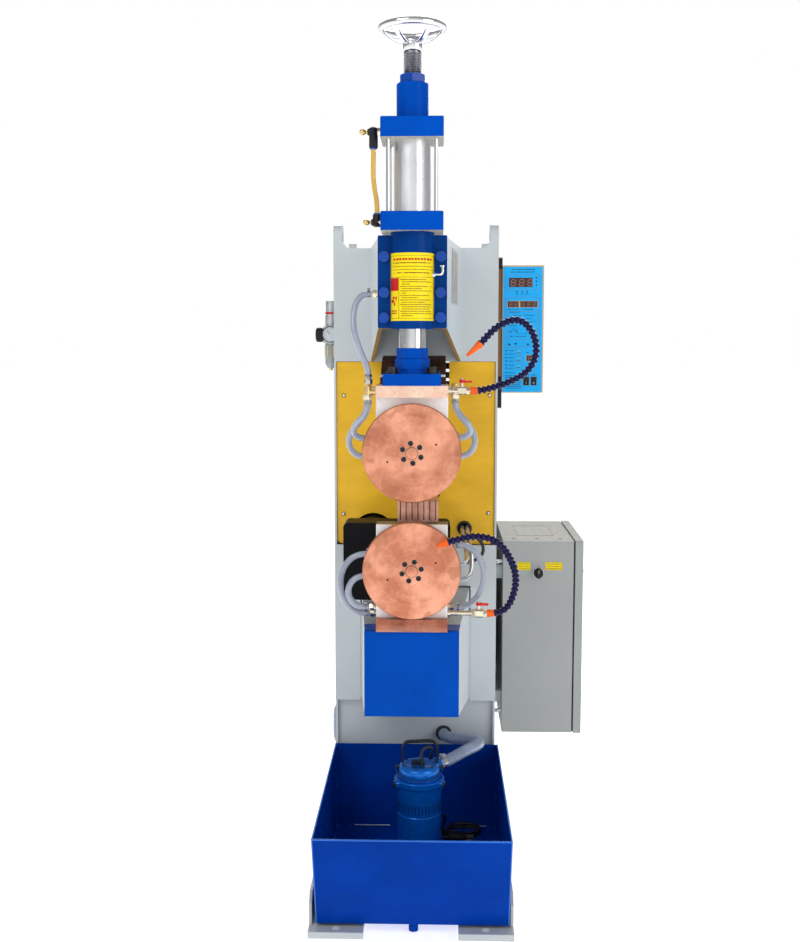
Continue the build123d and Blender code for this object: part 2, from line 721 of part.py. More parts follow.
def gear_housing():
    """Closed housing round the two gears."""
    left, right = motor_x - 48, 80
    body = block(left, right, gear_case_front, gear_case_back, gear_case_low, gear_case_high)
    body = fillet(body.edges().filter_by(Axis.Y), 10)
    body -= block(left + 6, right - 6, gear_case_front + 6, gear_case_back - 6, gear_case_low + 6, gear_case_high - 5)
    body -= bar_y(0, lower_axis, gear_case_front - 1, gear_case_front + 7, 21)
    return body - bar_y(motor_x, lower_axis, gear_case_back - 7, gear_case_back + 1, 13)


def drive_motor():
    """Geared motor behind the housing, reaching into the column."""
    body = bar_y(motor_x, lower_axis, gear_case_back + 10, motor_back, motor_radius)
    body += bar_y(motor_x, lower_axis, gear_case_back, gear_case_back + 10, 52)
    body = chamfer(body.edges().group_by(Axis.Y)[-1], 4)
    return body - bar_y(motor_x, lower_axis, gear_case_back - 1, 22, 12.05)


def transformer():
    """Welding transformer on the column shelf: core, windings and two terminal bars."""
    core = block(-110, 110, 160, 440, 646, 900) - block(-45, 45, 159, 441, 700, 846)
    coil = block(-44.5, 44.5, 175, 425, 700.5, 845.5)
    upper_bar = block(-55, 55, 20, 150, 1130, 1150) + block(-55, 55, 130, 150, 880, 1150)
    upper_bar += block(-55, 55, 130, 159.5, 860, 880)
    return group(core, coil, upper_bar)


# ---------------- water, air and coolant fittings ----------------

def stub(x, y, z, side):
    """Straight brass hose tail screwed into a side face."""
    return bar_x(y, z, min(x, x + side * 13), max(x, x + side * 13), 7)


def head_fittings():
    """Water fittings that travel with the upper head."""
    h = head_half
    left_feed = bar_x(-432, 1122, -90, -h, 6) + post(-90, -432, 1102, 1143, 7)
    left_front = bar_x(-468, 1118, -90, -h, 6) + post(-90, -468, 1102, 1128, 7)
    right_front = bar_x(-408, 1122, h, 88, 6) + post(88, -408, 1102, 1132, 7)
    right_rear = bar_x(-372, 1122, h, 88, 6) + post(88, -372, 1102, 1132, 7)
    ports = [stub(side * h, y, z, side) for side, y, z in
             ((-1, -420, 1020), (-1, -380, 978), (1, -402, 1020), (1, -366, 978))]
    return group(left_feed, left_front, right_front, right_rear, *ports)


def air_fittings():
    """Two speed-control elbows on the cylinder caps."""
    made = []
    for x, z, low, high in ((-78, 1634, 1600, 1646), (-71, 1457, 1449, 1475)):
        body = bar_x(ram_y, z, x - 12, -cap_half, 7) + post(x, ram_y, low, high, 9)
        body += bar_x(ram_y, z, x - 30, x - 12, 5)
        made.append(body)
    return made


def fixed_fittings():
    """Fittings that stay with the frame: air elbows, nose ports, lower water tails and the grommet."""
    h = head_half
    lower = [stub(side * h, y, z, side) for side, y, z in
             ((-1, -410, 778), (-1, -444, 738), (1, -420, 800), (1, -352, 744), (1, -376, 716))]
    tails = [bar_x(y, z, min(x0, x1), max(x0, x1), 7) for x0, x1, y, z in
             ((-89, -h, -410, 652), (-89, -h, -444, 672), (h, 89, -420, 668))]
    nose_port = bar_x(-392, 1317, -84, -74.5, 8)
    ring = bar_y(grommet_x, grommet_z, -26, -20, 17) + bar_y(grommet_x, grommet_z, -20, -10, grommet_hole - 0.2)
    ring -= bar_y(grommet_x, grommet_z, -27, -9, 12.2)
    hose_port = bar_y(70, return_z, -24, -12, pump_hose + 4) - bar_y(70, return_z, -25, -11, pump_hose)
    side_ports = [bar_x(250, z, -199, -column_half_width, 9) for z in (248, 140)]
    return group(*air_fittings(), *lower, *tails, *side_ports, nose_port, ring, hose_port)


def ball_valve(x0, x1, y, z):
    """Brass ball valve with its pipe and a stem on top."""
    pipe = bar_x(y, z, x0, x1 + 10, 5)
    body = block(x1 - 18, x1, y - 8, y + 8, z - 8, z + 8)
    body = chamfer(body.edges().filter_by(Axis.X), 2.5)
    return pipe + body + post(x1 - 9, y, z + 8, z + 16, 3)


def valve_lever(x, y, z):
    """Short red lever on a valve stem."""
    lever = block(x - 6, x + 20, y - 4.5, y + 4.5, z, z + 4)
    lever = fillet(lever.edges().filter_by(Axis.Z), 4)
    return lever + post(x, y, z, z + 6, 5.5)


def coolant_line(name, route, nozzle_end):
    """Jointed coolant hose that holds its shape, with a tapered nozzle."""
    tube = hose(name, route, coolant_hose)
    start = Vector(*route[-1])
    axis = Vector(*nozzle_end) - start
    nozzle = Plane(origin=start, z_dir=axis) * Pos(0, 0, axis.length / 2) * Cone(coolant_hose, 3.2, axis.length)
    return group(tube, nozzle)


# ---------------- cabinet and controller ----------------

def cabinet_box():
    """Sheet enclosure, open on the door side."""
    t = cabinet_sheet
    box = block(cabinet_left, cabinet_right, cabinet_front, cabinet_back, cabinet_low, cabinet_high)
    box -= block(cabinet_left + t, cabinet_right + 1, cabinet_front + t, cabinet_back - t, cabinet_low + t, cabinet_high - t)
    rim = block(cabinet_right - 12, cabinet_right, cabinet_front, cabinet_back, cabinet_low, cabinet_high)
    rim -= block(cabinet_right - 13, cabinet_right + 1, cabinet_front + 14, cabinet_back - 14, cabinet_low + 14,
                 cabinet_high - 14)
    box += rim
    for z in cabinet_hinge_places():
        box += block(cabinet_right - 22, hinge_x - 4, cabinet_back, cabinet_back + 2, z, z + 60)
        for z0 in (z, z + 40):
            box += block(hinge_x - 5, hinge_x - 1.8, cabinet_back + 0.5, cabinet_back + 2, z0, z0 + 20)
            box += knuckle(z0, z0 + 20, 1)
        box += post(hinge_x, hinge_y, z, z + 60, 1.5)
    return box - bar_y(selector_x, selector_z, cabinet_front - 1, cabinet_front + 20, 11.2)


def cabinet_hinge_places():
    """Lowest point of each of the two butt hinges behind the cabinet."""
    return (cabinet_low + 60, cabinet_high - 120)


def knuckle(z0, z1, hole):
    """One knuckle of a butt hinge, bored for its pin."""
    return post(hinge_x, hinge_y, z0, z1, 3.5) - post(hinge_x, hinge_y, z0 - 1, z1 + 1, hole)


def cabinet_door():
    """Shallow tray door, hinged at its rear edge."""
    door = block(door_left, door_right, cabinet_front - 1, cabinet_back + 1, cabinet_low - 2, cabinet_high + 2)
    door = fillet(door.edges().filter_by(Axis.X), 3)
    door -= block(door_left - 1, door_right - 2, cabinet_front + 3, cabinet_back - 3, cabinet_low + 3,
                  cabinet_high - 3)
    for z in cabinet_hinge_places():
        door += block(hinge_x + 1.8, door_right - 2, cabinet_back + 1, cabinet_back + 3, z + 20.3, z + 39.7)
        door += block(hinge_x, hinge_x + 2, cabinet_back + 1.8, cabinet_back + 3, z + 20.3, z + 39.7)
        door += knuckle(z + 20.3, z + 39.7, 1.55)
        door -= post(hinge_x, hinge_y, z + 20, z + 40, 1.55)
    return door


def selector_knob():
    """Rotary selector: grip, collar and shaft through the cabinet wall."""
    collar = bar_y(selector_x, selector_z, cabinet_front - 8, cabinet_front - 0.3, 12.5)
    grip = block(selector_x - 4, selector_x + 4, cabinet_front - 22, cabinet_front - 8, selector_z - 11, selector_z + 11)
    grip = fillet(grip.edges().filter_by(Axis.Y), 2.5)
    return collar + grip + bar_y(selector_x, selector_z, cabinet_front - 0.3, cabinet_front + 30, 11)


def controller_case():
    """Weld controller box on the right side, with a raised front frame and rocker wells."""
    case = block(controller_left, controller_right, controller_front, controller_back, controller_low, controller_high)
    case = fillet(case.edges().filter_by(Axis.Y), 2)
    half_width = rocker_half_width + rocker_well_gap
    half_height = rocker_half_height + 2 * rocker_well_gap
    y = controller_front
    for x in rocker_places:
        case -= block(x - half_width, x + half_width, y - 1, y + 16, rocker_z - half_height, rocker_z + half_height)
        case -= bar_x(y + rocker_pivot, rocker_z, x - half_width - 1.8, x + half_width + 1.8, rocker_pin + running_gap)
    return case


def rocker(x):
    """Rocker switch cap, higher at one end."""
    y = controller_front
    low, high = rocker_z - rocker_half_height, rocker_z + rocker_half_height
    outline = [(y + 5.5, low + 1.5), (y + 1, low), (y - 1, low), (y + 1.2, rocker_z), (y - 3, high), (y + 1, high),
               (y + 5.5, high - 1.5)]
    cap = side_profile(outline, x - rocker_half_width, x + rocker_half_width)
    return cap + bar_x(y + rocker_pivot, rocker_z, x - rocker_half_width - 2, x + rocker_half_width + 2, rocker_pin)


# ---------------- air preparation unit ----------------

def air_filter():
    """Filter regulator with its bowl, gauge port and mounting bracket."""
    x, y = filter_x, filter_y
    body = block(x - 17, x + 14, y - 20, y + 20, 1217, 1258)
    body = fillet(body.edges().filter_by(Axis.Z), 4)
    body += block(x + 14, -column_half_width, y - 14, y + 14, 1222, 1250)
    body += post(x, y, 1258, 1284, 14) + post(x, y, 1284, 1320, 12.5)
    bowl = turned([(0, 1155), (8, 1155), (13, 1164), (14, 1217), (0, 1217)], x, y)
    return group(body, bowl)


def regulator_knob():
    """Black adjusting knob on the left of the regulator."""
    end = filter_x - 17
    knob = bar_x(filter_y, 1237, end - 20, end - body_gap, 17)
    return chamfer(knob.edges().group_by(Axis.X)[0], 3)


# ---------------- coolant pump ----------------

def pump_body():
    """Submersible pump: smooth barrel, clamp ring with three lugs, flat cover, rear outlet and glands."""
    f = pump_floor
    outline = [
        (0, f), (42, f), (44, f + 4), (44, f + 20), (49, f + 22), (49, 216), (50, 220), (50, 246), (55, 247), (55, 261),
        (46, 262), (45.5, 284), (42, 289), (0, 291),
    ]
    body = turned(outline, pump_x, pump_y)
    for angle in (0, 120, 240):
        ear = block(50, 62, -9, 9, 247, 261)
        body += Pos(pump_x, pump_y, 0) * Rot(0, 0, angle + 90) * ear
    outlet = Pos(pump_x, pump_y, 0) * Rot(0, 0, 45) * bar_x(0, outlet_z, 30, 60, 15)
    gland = post(18, pump_y, 280, 300, 7)
    bolt = post(4, pump_y, 280, 298, 6)
    return body + outlet + gland + bolt


def pump_handle():
    """Bail handle over the pump's cover."""
    route = [(pump_x - 38, pump_y + 20, 280), (pump_x - 38, pump_y + 20, 333), (pump_x + 40, pump_y + 20, 337),
             (pump_x + 40, pump_y + 20, 280)]
    path = FilletPolyline(*route, radius=16)
    section = Plane(origin=path @ 0, z_dir=path % 0) * Rectangle(5, 12)
    return sweep(section, path=path)


def pump_cord_hank():
    """Closed shape of the folded spare cord on the tank floor."""
    low = pump_floor + 0.3
    hank = block(hank_left, hank_left + 84, -94, -30, low, low + 25)
    return fillet(hank.edges().filter_by(Axis.Z), 26)


def pump_plug():
    """Moulded three-pin plug lying on the tank floor in front of the hank."""
    low, y = pump_floor + 0.3, -116
    body = block(86, 124, y - 15, y + 15, low, low + 22)
    body = fillet(body.edges().filter_by(Axis.X), 6)
    body += bar_x(y, low + 11, 68, 86, 6)
    for dy, z in ((-7, low + 6), (7, low + 6), (0, low + 15)):
        body += block(124, 142, y + dy - 1, y + dy + 1, z - 2, z + 2)
    return body


def main():
    """Builds and writes every node."""
    os.makedirs("parts", exist_ok=True)
    save("base_rails", base_rails())
    save("column_frame", column_frame())
    save("rear_cover", rear_cover())
    save("insulating_panel", insulating_panel())
    save("lower_front_cover", lower_front_cover())
    save("nose_box", nose_box())
    save("lower_arm", lower_arm())
    save("arm_front_plate", arm_front_plate())
    save("coolant_tank", coolant_tank())
    save("guide_housing", guide_housing())
    save("housing_bolts", housing_bolts())
    save("cylinder_caps", cylinder_caps())
    save("cylinder_barrel", cylinder_barrel())
    save("tie_rods", tie_rods())
    save("lock_nut", lock_nut())
    save("adjusting_screw", adjusting_screw())
    save("handwheel", handwheel())
    save("piston_rod", piston_rod())
    save("ram_flange", ram_flange())
    save("flange_screws", flange_screws())
    save("upper_copper_plate", upper_copper_plate())
    save("upper_bearing_block", upper_bearing_block())
    save("upper_spindle", spindle(upper_axis, 32, block_back + 14, upper_screw_turn))
    save("upper_wheel", electrode_wheel(upper_axis, upper_screw_turn))
    save("lower_copper_plate", block(-head_half, head_half, plate_front, block_back, lower_plate_low, lower_plate_high))
    save("lower_bearing_block", lower_bearing_block())
    save("lower_spindle", spindle(lower_axis, 20, -284, lower_screw_turn))
    save("lower_wheel", electrode_wheel(lower_axis, lower_screw_turn))
    save("copper_shunt", copper_shunt())
    save("lower_bus", lower_bus())
    save("drive_gear", drive_gear())
    save("pinion", pinion())
    save("gear_housing", gear_housing())
    save("drive_motor", drive_motor())
    save("transformer", transformer())
    save("head_fittings", head_fittings())
    save("fixed_fittings", fixed_fittings())
    save("upper_valve", ball_valve(head_half, 110, -450, 1120))
    save("lower_valve", ball_valve(head_half, 147, -450, 662))
    save("upper_valve_lever", valve_lever(101, -450, 1136.3))
    save("lower_valve_lever", valve_lever(138, -450, 678.3))
    save("upper_coolant_hose", coolant_line("upper coolant", upper_coolant_route, (109, -512, 1191)))
    save("lower_coolant_hose", coolant_line("lower coolant", lower_coolant_route, (50, -515, 812)))
    save("cabinet_box", cabinet_box())
    save("cabinet_door", cabinet_door())
    save("selector_knob", selector_knob())
    save("controller_case", controller_case())
    save("left_rocker", rocker(rocker_places[0]))
    save("right_rocker", rocker(rocker_places[1]))
    save("air_filter", air_filter())
    save("regulator_knob", regulator_knob())
    save("pump_body", group(pump_body(), pump_handle()))
    save("pump_cord_hank", pump_cord_hank())
    save("pump_plug", pump_plug())
    save("feed_hose", hose("feed hose", feed_route, water_hose))
    save("head_hoses", group(*[hose("head hose", route, water_hose) for route in head_routes]))
    wide = [hose("lower hose", route, water_hose) for route in lower_routes]
    thin = [hose("service hose", route, service_hose) for route in service_routes]
    wide.append(hose("side hose", side_route, water_hose))
    cable = hose("motor cable", motor_cable_route, motor_cable)
    save("lower_hoses", group(*wide, *thin, cable))
    save("pump_outlet_hose", hose("pump outlet", outlet_route, pump_hose))
    save("pump_cord", hose("pump cord", cord_route, pump_cord))
    save("air_tube", hose("air tube", air_route, air_tube))


main()
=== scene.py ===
import math

import bmesh
import bpy
from mathutils import Matrix, Vector


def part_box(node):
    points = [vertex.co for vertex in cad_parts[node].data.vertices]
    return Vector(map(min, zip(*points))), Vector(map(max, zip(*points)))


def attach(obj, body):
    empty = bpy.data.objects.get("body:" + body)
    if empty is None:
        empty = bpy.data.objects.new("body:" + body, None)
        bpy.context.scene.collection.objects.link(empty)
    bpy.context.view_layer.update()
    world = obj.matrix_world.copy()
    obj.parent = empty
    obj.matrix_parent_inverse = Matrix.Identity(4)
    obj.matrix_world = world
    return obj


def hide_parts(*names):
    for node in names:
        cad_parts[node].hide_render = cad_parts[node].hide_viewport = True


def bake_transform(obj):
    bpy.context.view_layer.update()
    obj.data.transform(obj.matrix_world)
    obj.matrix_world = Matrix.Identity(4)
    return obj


# Looks of a roller spot welder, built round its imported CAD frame.
# Blender works in metres; sizes below are in millimetres and are scaled by MM when a mesh is made.
# The operator stands on the -Y side, +X is to the operator's right, and Z is up from the floor.

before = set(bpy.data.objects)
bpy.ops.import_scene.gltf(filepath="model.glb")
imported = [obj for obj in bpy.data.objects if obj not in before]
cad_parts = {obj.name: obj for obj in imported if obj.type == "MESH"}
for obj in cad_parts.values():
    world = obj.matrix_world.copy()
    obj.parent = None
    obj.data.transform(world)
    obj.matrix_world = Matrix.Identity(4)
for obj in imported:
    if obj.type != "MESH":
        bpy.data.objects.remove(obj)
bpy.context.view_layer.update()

MM = 0.001
X, Y, Z = Vector((1, 0, 0)), Vector((0, 1, 0)), Vector((0, 0, 1))

# ---- bodies that pieces ride on ----
FRAME_BODY = "frame"
HEAD_BODY = "head"

# ---- hose and cord sizes, as in the CAD source ----
WATER_HOSE = 13.0
SERVICE_HOSE = 10.0
COOLANT_PITCH = 10.0
PUMP_HOSE = 26.0
PUMP_CORD = 7.0
MOTOR_CABLE = 8.0
AIR_TUBE = 10.0

# ---- places taken from the CAD source ----
RAM_Y = -436
HEAD_HALF = 73
GUIDE_RADIUS = 43.9
FILTER_X, FILTER_Y, GAUGE_Z = -213, 100, 1238
SELECTOR_X, SELECTOR_Z = 311, 633
PUMP_X, PUMP_Y, PUMP_FLOOR = 14, -314, 25.0
TANK_LEFT, TANK_RIGHT, TANK_BACK, TANK_TOE = -194, 200, -28, -518
TANK_LIP_Y, TANK_LIP_Z = -597, 234.6
TANK_SLOPE = 78 / 213
SCREW_TURNS = {"upper": 37, "lower": 14}

# ---- camera, light and paint limits; the camera and the lamps are placed in metres ----
FLOOR_RADIUS = 60000.0
CAMERA_PLACE = (0.048, -2.844, 1.212)
CAMERA_LENS = 45.1
CAMERA_TILT, CAMERA_TURN = 83.905, 1.7376
LAMP_AIM = Vector((0, -0.1, 0.9))
LAMPS = (("key", (-1.9, -3.2, 3.6), 2.2, 42.0), ("fill", (2.8, -2.6, 1.9), 2.0, 32.0),
         ("back", (0.4, 2.9, 3.2), 2.4, 80.0))
LOOKING_DOWN = (-0.90, -0.95)
LOOKING_UP = (0.90, 0.95)
SKY_LEVELS = ((0.0, 0.80), (0.07, 0.56), (0.24, 0.30), (0.86, 0.34), (0.95, 1.0))


class Span:
    """Box of a CAD node at rest, in millimetres."""

    def __init__(self, node):
        low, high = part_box(node)
        self.x0, self.y0, self.z0 = (value / MM for value in low)
        self.x1, self.y1, self.z1 = (value / MM for value in high)
        self.x = (self.x0 + self.x1) / 2
        self.y = (self.y0 + self.y1) / 2
        self.z = (self.z0 + self.z1) / 2


# ================= camera =================

def make_camera():
    """Camera in front of the machine, a little above its middle and looking slightly down."""
    data = bpy.data.cameras.new("camera")
    data.lens = CAMERA_LENS
    data.sensor_width = 36.0
    data.clip_end = 200.0
    camera = bpy.data.objects.new("camera", data)
    camera.location = CAMERA_PLACE
    camera.rotation_euler = (math.radians(CAMERA_TILT), 0, math.radians(CAMERA_TURN))
    bpy.context.scene.collection.objects.link(camera)
    bpy.context.scene.camera = camera


# ================= materials =================

class Finish:
    """A node material: a Principled shader and short calls that add nodes in front of it."""

    def __init__(self, name, colour, roughness, metallic=0.0, **sockets):
        self.material = bpy.data.materials.new(name)
        self.material.use_nodes = True
        self.tree = self.material.node_tree
        self.shader = self.tree.nodes["Principled BSDF"]
        self.shader.inputs["Base Color"].default_value = (*colour, 1)
        self.shader.inputs["Roughness"].default_value = roughness
        self.shader.inputs["Metallic"].default_value = metallic
        for socket, value in sockets.items():
            self.shader.inputs[socket.replace("_", " ")].default_value = value
        self.point = self.add("ShaderNodeTexCoord").outputs["Object"]
        self.normal = None

    def add(self, kind, **settings):
        """Adds a node."""
        node = self.tree.nodes.new(kind)
        for name, value in settings.items():
            setattr(node, name, value)
        return node

    def join(self, source, target):
        """Links an output, or sets a plain value."""
        if isinstance(source, bpy.types.NodeSocket):
            self.tree.links.new(source, target)
        elif isinstance(source, (tuple, list)) and target.type == "RGBA":
            target.default_value = (*source[:3], 1)
        else:
            target.default_value = source

    def stretched(self, x, y, z):
        """Object coordinates with each axis scaled."""
        node = self.add("ShaderNodeVectorMath", operation="MULTIPLY")
        self.join(self.point, node.inputs[0])
        node.inputs[1].default_value = (x, y, z)
        return node.outputs[0]

    def noise(self, scale, detail=3.0, rough=0.55, vector=None):
        """Noise value, 0 to 1."""
        node = self.add("ShaderNodeTexNoise")
        self.join(vector or self.point, node.inputs["Vector"])
        node.inputs["Scale"].default_value = scale
        node.inputs["Detail"].default_value = detail
        node.inputs["Roughness"].default_value = rough
        return node.outputs["Fac"]

    def spots(self, scale):
        """Distance to the nearest cell point, for pits and specks."""
        node = self.add("ShaderNodeTexVoronoi")
        self.join(self.point, node.inputs["Vector"])
        node.inputs["Scale"].default_value = scale
        return node.outputs["Distance"]

    def wave(self, scale, distortion, direction):
        """Sine bands across one axis, 0 to 1."""
        node = self.add("ShaderNodeTexWave", wave_type="BANDS", bands_direction=direction)
        self.join(self.point, node.inputs["Vector"])
        node.inputs["Scale"].default_value = scale
        node.inputs["Distortion"].default_value = distortion
        return node.outputs["Fac"]

    def between(self, value, low, high, out_low=0.0, out_high=1.0):
        """Maps low..high onto out_low..out_high, clamped."""
        node = self.add("ShaderNodeMapRange")
        self.join(value, node.inputs["Value"])
        node.inputs["From Min"].default_value = low
        node.inputs["From Max"].default_value = high
        node.inputs["To Min"].default_value = out_low
        node.inputs["To Max"].default_value = out_high
        return node.outputs["Result"]

    def patches(self, scale, detail, low, high, out_low=0.0, out_high=1.0, rough=0.55):
        """Noise mapped from low..high onto out_low..out_high."""
        return self.between(self.noise(scale, detail, rough), low, high, out_low, out_high)

    def maths(self, operation, a, b):
        """One arithmetic step."""
        node = self.add("ShaderNodeMath", operation=operation)
        self.join(a, node.inputs[0])
        self.join(b, node.inputs[1])
        return node.outputs[0]

    def mix(self, factor, a, b):
        """Colour a where factor is 0, colour b where it is 1."""
        node = self.add("ShaderNodeMix", data_type="RGBA")
        self.join(factor, node.inputs[0])
        self.join(a, node.inputs[6])
        self.join(b, node.inputs[7])
        return node.outputs[2]

    def part(self, vector, axis):
        """One component of a vector."""
        node = self.add("ShaderNodeSeparateXYZ")
        self.join(vector, node.inputs[0])
        return node.outputs[axis]

    def radius(self, x, z):
        """Distance in the XZ plane from a point given in millimetres, in metres."""
        node = self.add("ShaderNodeVectorMath", operation="SUBTRACT")
        self.join(self.point, node.inputs[0])
        node.inputs[1].default_value = (x * MM, 0, z * MM)
        flat = self.add("ShaderNodeVectorMath", operation="MULTIPLY")
        self.join(node.outputs[0], flat.inputs[0])
        flat.inputs[1].default_value = (1, 0, 1)
        length = self.add("ShaderNodeVectorMath", operation="LENGTH")
        self.join(flat.outputs[0], length.inputs[0])
        return length.outputs["Value"]

    def edges(self, size):
        """Mask that is 1 on sharp edges within size millimetres, and fades to 0."""
        bevel = self.add("ShaderNodeBevel", samples=4)
        bevel.inputs["Radius"].default_value = size * MM
        plain = self.add("ShaderNodeNewGeometry")
        dot = self.add("ShaderNodeVectorMath", operation="DOT_PRODUCT")
        self.join(bevel.outputs[0], dot.inputs[0])
        self.join(plain.outputs["Normal"], dot.inputs[1])
        return self.between(dot.outputs["Value"], 0.995, 0.90)

    def edge_wear_and_highlight(self, base, size, share, tint):
        """Base colour with a share of a tint on the sharp edges, for wear; on the enamel it is a painted
        highlight.
        """
        return self.mix(self.maths("MULTIPLY", self.edges(size), share), base, tint)

    def upward(self):
        """Z component of the face direction: 1 on top faces and -1 on undersides."""
        return self.part(self.add("ShaderNodeNewGeometry").outputs["Normal"], "Z")

    def round_edges(self, size):
        """Shades sharp CAD edges as if they had a small radius."""
        bevel = self.add("ShaderNodeBevel", samples=4)
        bevel.inputs["Radius"].default_value = size * MM
        self.normal = bevel.outputs[0]
        self.join(self.normal, self.shader.inputs["Normal"])

    def colour(self, socket):
        """Sets the base colour."""
        self.join(socket, self.shader.inputs["Base Color"])

    def rough(self, socket):
        """Sets the roughness."""
        self.join(socket, self.shader.inputs["Roughness"])

    def bump(self, height, depth, strength=1.0):
        """Adds relief of the given depth in millimetres."""
        node = self.add("ShaderNodeBump")
        node.inputs["Strength"].default_value = strength
        node.inputs["Distance"].default_value = depth * MM
        self.join(height, node.inputs["Height"])
        if self.normal:
            self.join(self.normal, node.inputs["Normal"])
        self.normal = node.outputs[0]
        self.join(self.normal, self.shader.inputs["Normal"])


def shade(colour, factor):
    """A lighter or darker version of a colour."""
    return tuple(min(1.0, channel * factor) for channel in colour)


def powder_coat(name, colour, grain=850.0, gloss=0.40, under=None, over=None, over_until=10.0):
    """Sprayed sheet-metal paint: fine texture, faint cloudiness, rubbed edges and dust low down.

    under and over are other colours for the faces that look down and up, over only in front of over_until.
    They paint shade on undersides and tops, or give a second paint colour.
    """
    f = Finish(name, colour, gloss, Coat_Weight=0.15, Coat_Roughness=0.3)
    f.round_edges(1.6)
    cloud = f.patches(5.5, 4, 0.3, 0.7)
    base = f.mix(cloud, shade(colour, 0.95), shade(colour, 1.03))
    grime = f.patches(38, 5, 0.60, 0.86, 0.0, 0.30, rough=0.7)
    base = f.mix(grime, base, shade(colour, 0.80))
    low = f.between(f.part(f.point, "Z"), 0.30, 0.0, 0.0, 0.18)
    base = f.mix(low, base, (0.33, 0.31, 0.27))
    rubbed = f.maths("MULTIPLY", f.edges(1.6), f.patches(24, 3, 0.42, 0.62, 0.0, 0.5))
    base = f.mix(rubbed, base, shade(colour, 1.25))
    facing = f.upward()
    if under:
        # Painted shade: faces that look down take the darker under colour.
        underside_shade = f.mix(f.patches(60, 4, 0.3, 0.7), under, shade(under, 1.6))
        base = f.mix(f.between(facing, *LOOKING_DOWN), base, underside_shade)
    # Faces that look up take the over colour: painted shade on the cabinet top, a second paint colour on the
    # arm.
    if over:
        ahead = f.between(f.part(f.point, "Y"), over_until, over_until - 0.002)
        base = f.mix(f.maths("MULTIPLY", f.between(facing, *LOOKING_UP), ahead), base, over)
    f.colour(base)
    f.rough(f.patches(60, 3, 0.3, 0.7, gloss - 0.06, gloss + 0.08))
    f.bump(f.noise(grain, 2), 0.07, 0.5)
    f.bump(f.noise(7, 2), 0.5, 0.25)
    return f.material


def enamel(name, colour, gloss=0.26, edge_wear_and_highlight=(0.06, 0.24, 0.70), under=None, shine=0.02):
    """Gloss enamel with runs, orange peel, scuffs, sharp edges lightened as a painted highlight, and edge
    chips whose lighter colour is partly wear and partly painted highlight.

    under is another colour for the faces that look down. shine sets the clear coat and the specular level.
    """
    f = Finish(name, colour, gloss, Coat_Weight=shine, Coat_Roughness=0.12, Specular_IOR_Level=shine)
    f.round_edges(1.4)
    cloud = f.patches(9, 4, 0.3, 0.7)
    base = f.mix(cloud, shade(colour, 0.86), shade(colour, 1.10))
    scuff = f.between(f.noise(90, 5, 0.75, f.stretched(1, 1, 0.25)), 0.66, 0.80, 0.0, 0.35)
    base = f.mix(scuff, base, shade(colour, 1.35))
    # Painted highlight: the sharp edges are lightened.
    base = f.edge_wear_and_highlight(base, 1.3, 0.4, shade(colour, 1.7))
    if under:
        base = f.mix(f.between(f.upward(), *LOOKING_DOWN), base, f.mix(cloud, under, shade(under, 0.6)))
    # Edge chips in a lighter colour: partly wear, partly painted highlight.
    chip = f.maths("MULTIPLY", f.edges(1.3), f.patches(55, 4, 0.50, 0.60, 0.0, 0.85, rough=0.7))
    f.colour(f.mix(chip, base, edge_wear_and_highlight))
    f.rough(f.patches(45, 4, 0.3, 0.75, gloss - 0.05, gloss + 0.14))
    f.bump(f.noise(260, 2), 0.10, 0.4)
    f.bump(f.noise(22, 2, 0.5, f.stretched(1, 1, 0.4)), 0.5, 0.3)
    return f.material


def laminate():
    """Yellow glass-epoxy sheet: fine cross weave under a clear skin, with darker sawn edges."""
    colour = (0.90, 0.52, 0.03)
    f = Finish("laminate", colour, 0.24, Coat_Weight=0.1, Coat_Roughness=0.08, Specular_IOR_Level=0.15)
    weave = f.maths("MULTIPLY", f.wave(420, 1.5, "X"), f.wave(420, 1.5, "Z"))
    cloud = f.between(f.noise(6, 5, 0.6, f.stretched(1, 1, 2.2)), 0.28, 0.72)
    base = f.mix(cloud, shade(colour, 0.84), shade(colour, 1.14))
    base = f.mix(f.between(weave, 0.0, 1.0, 0.0, 0.16), base, shade(colour, 0.72))
    specks = f.between(f.spots(120), 0.05, 0.10, 0.55, 0.0)
    base = f.mix(specks, base, (0.20, 0.10, 0.015))
    f.colour(f.edge_wear_and_highlight(base, 2.0, 0.8, (0.30, 0.15, 0.02)))
    f.rough(f.patches(30, 4, 0.3, 0.7, 0.18, 0.36))
    f.bump(weave, 0.04, 0.5)
    f.bump(f.noise(14, 3), 0.5, 0.2)
    return f.material


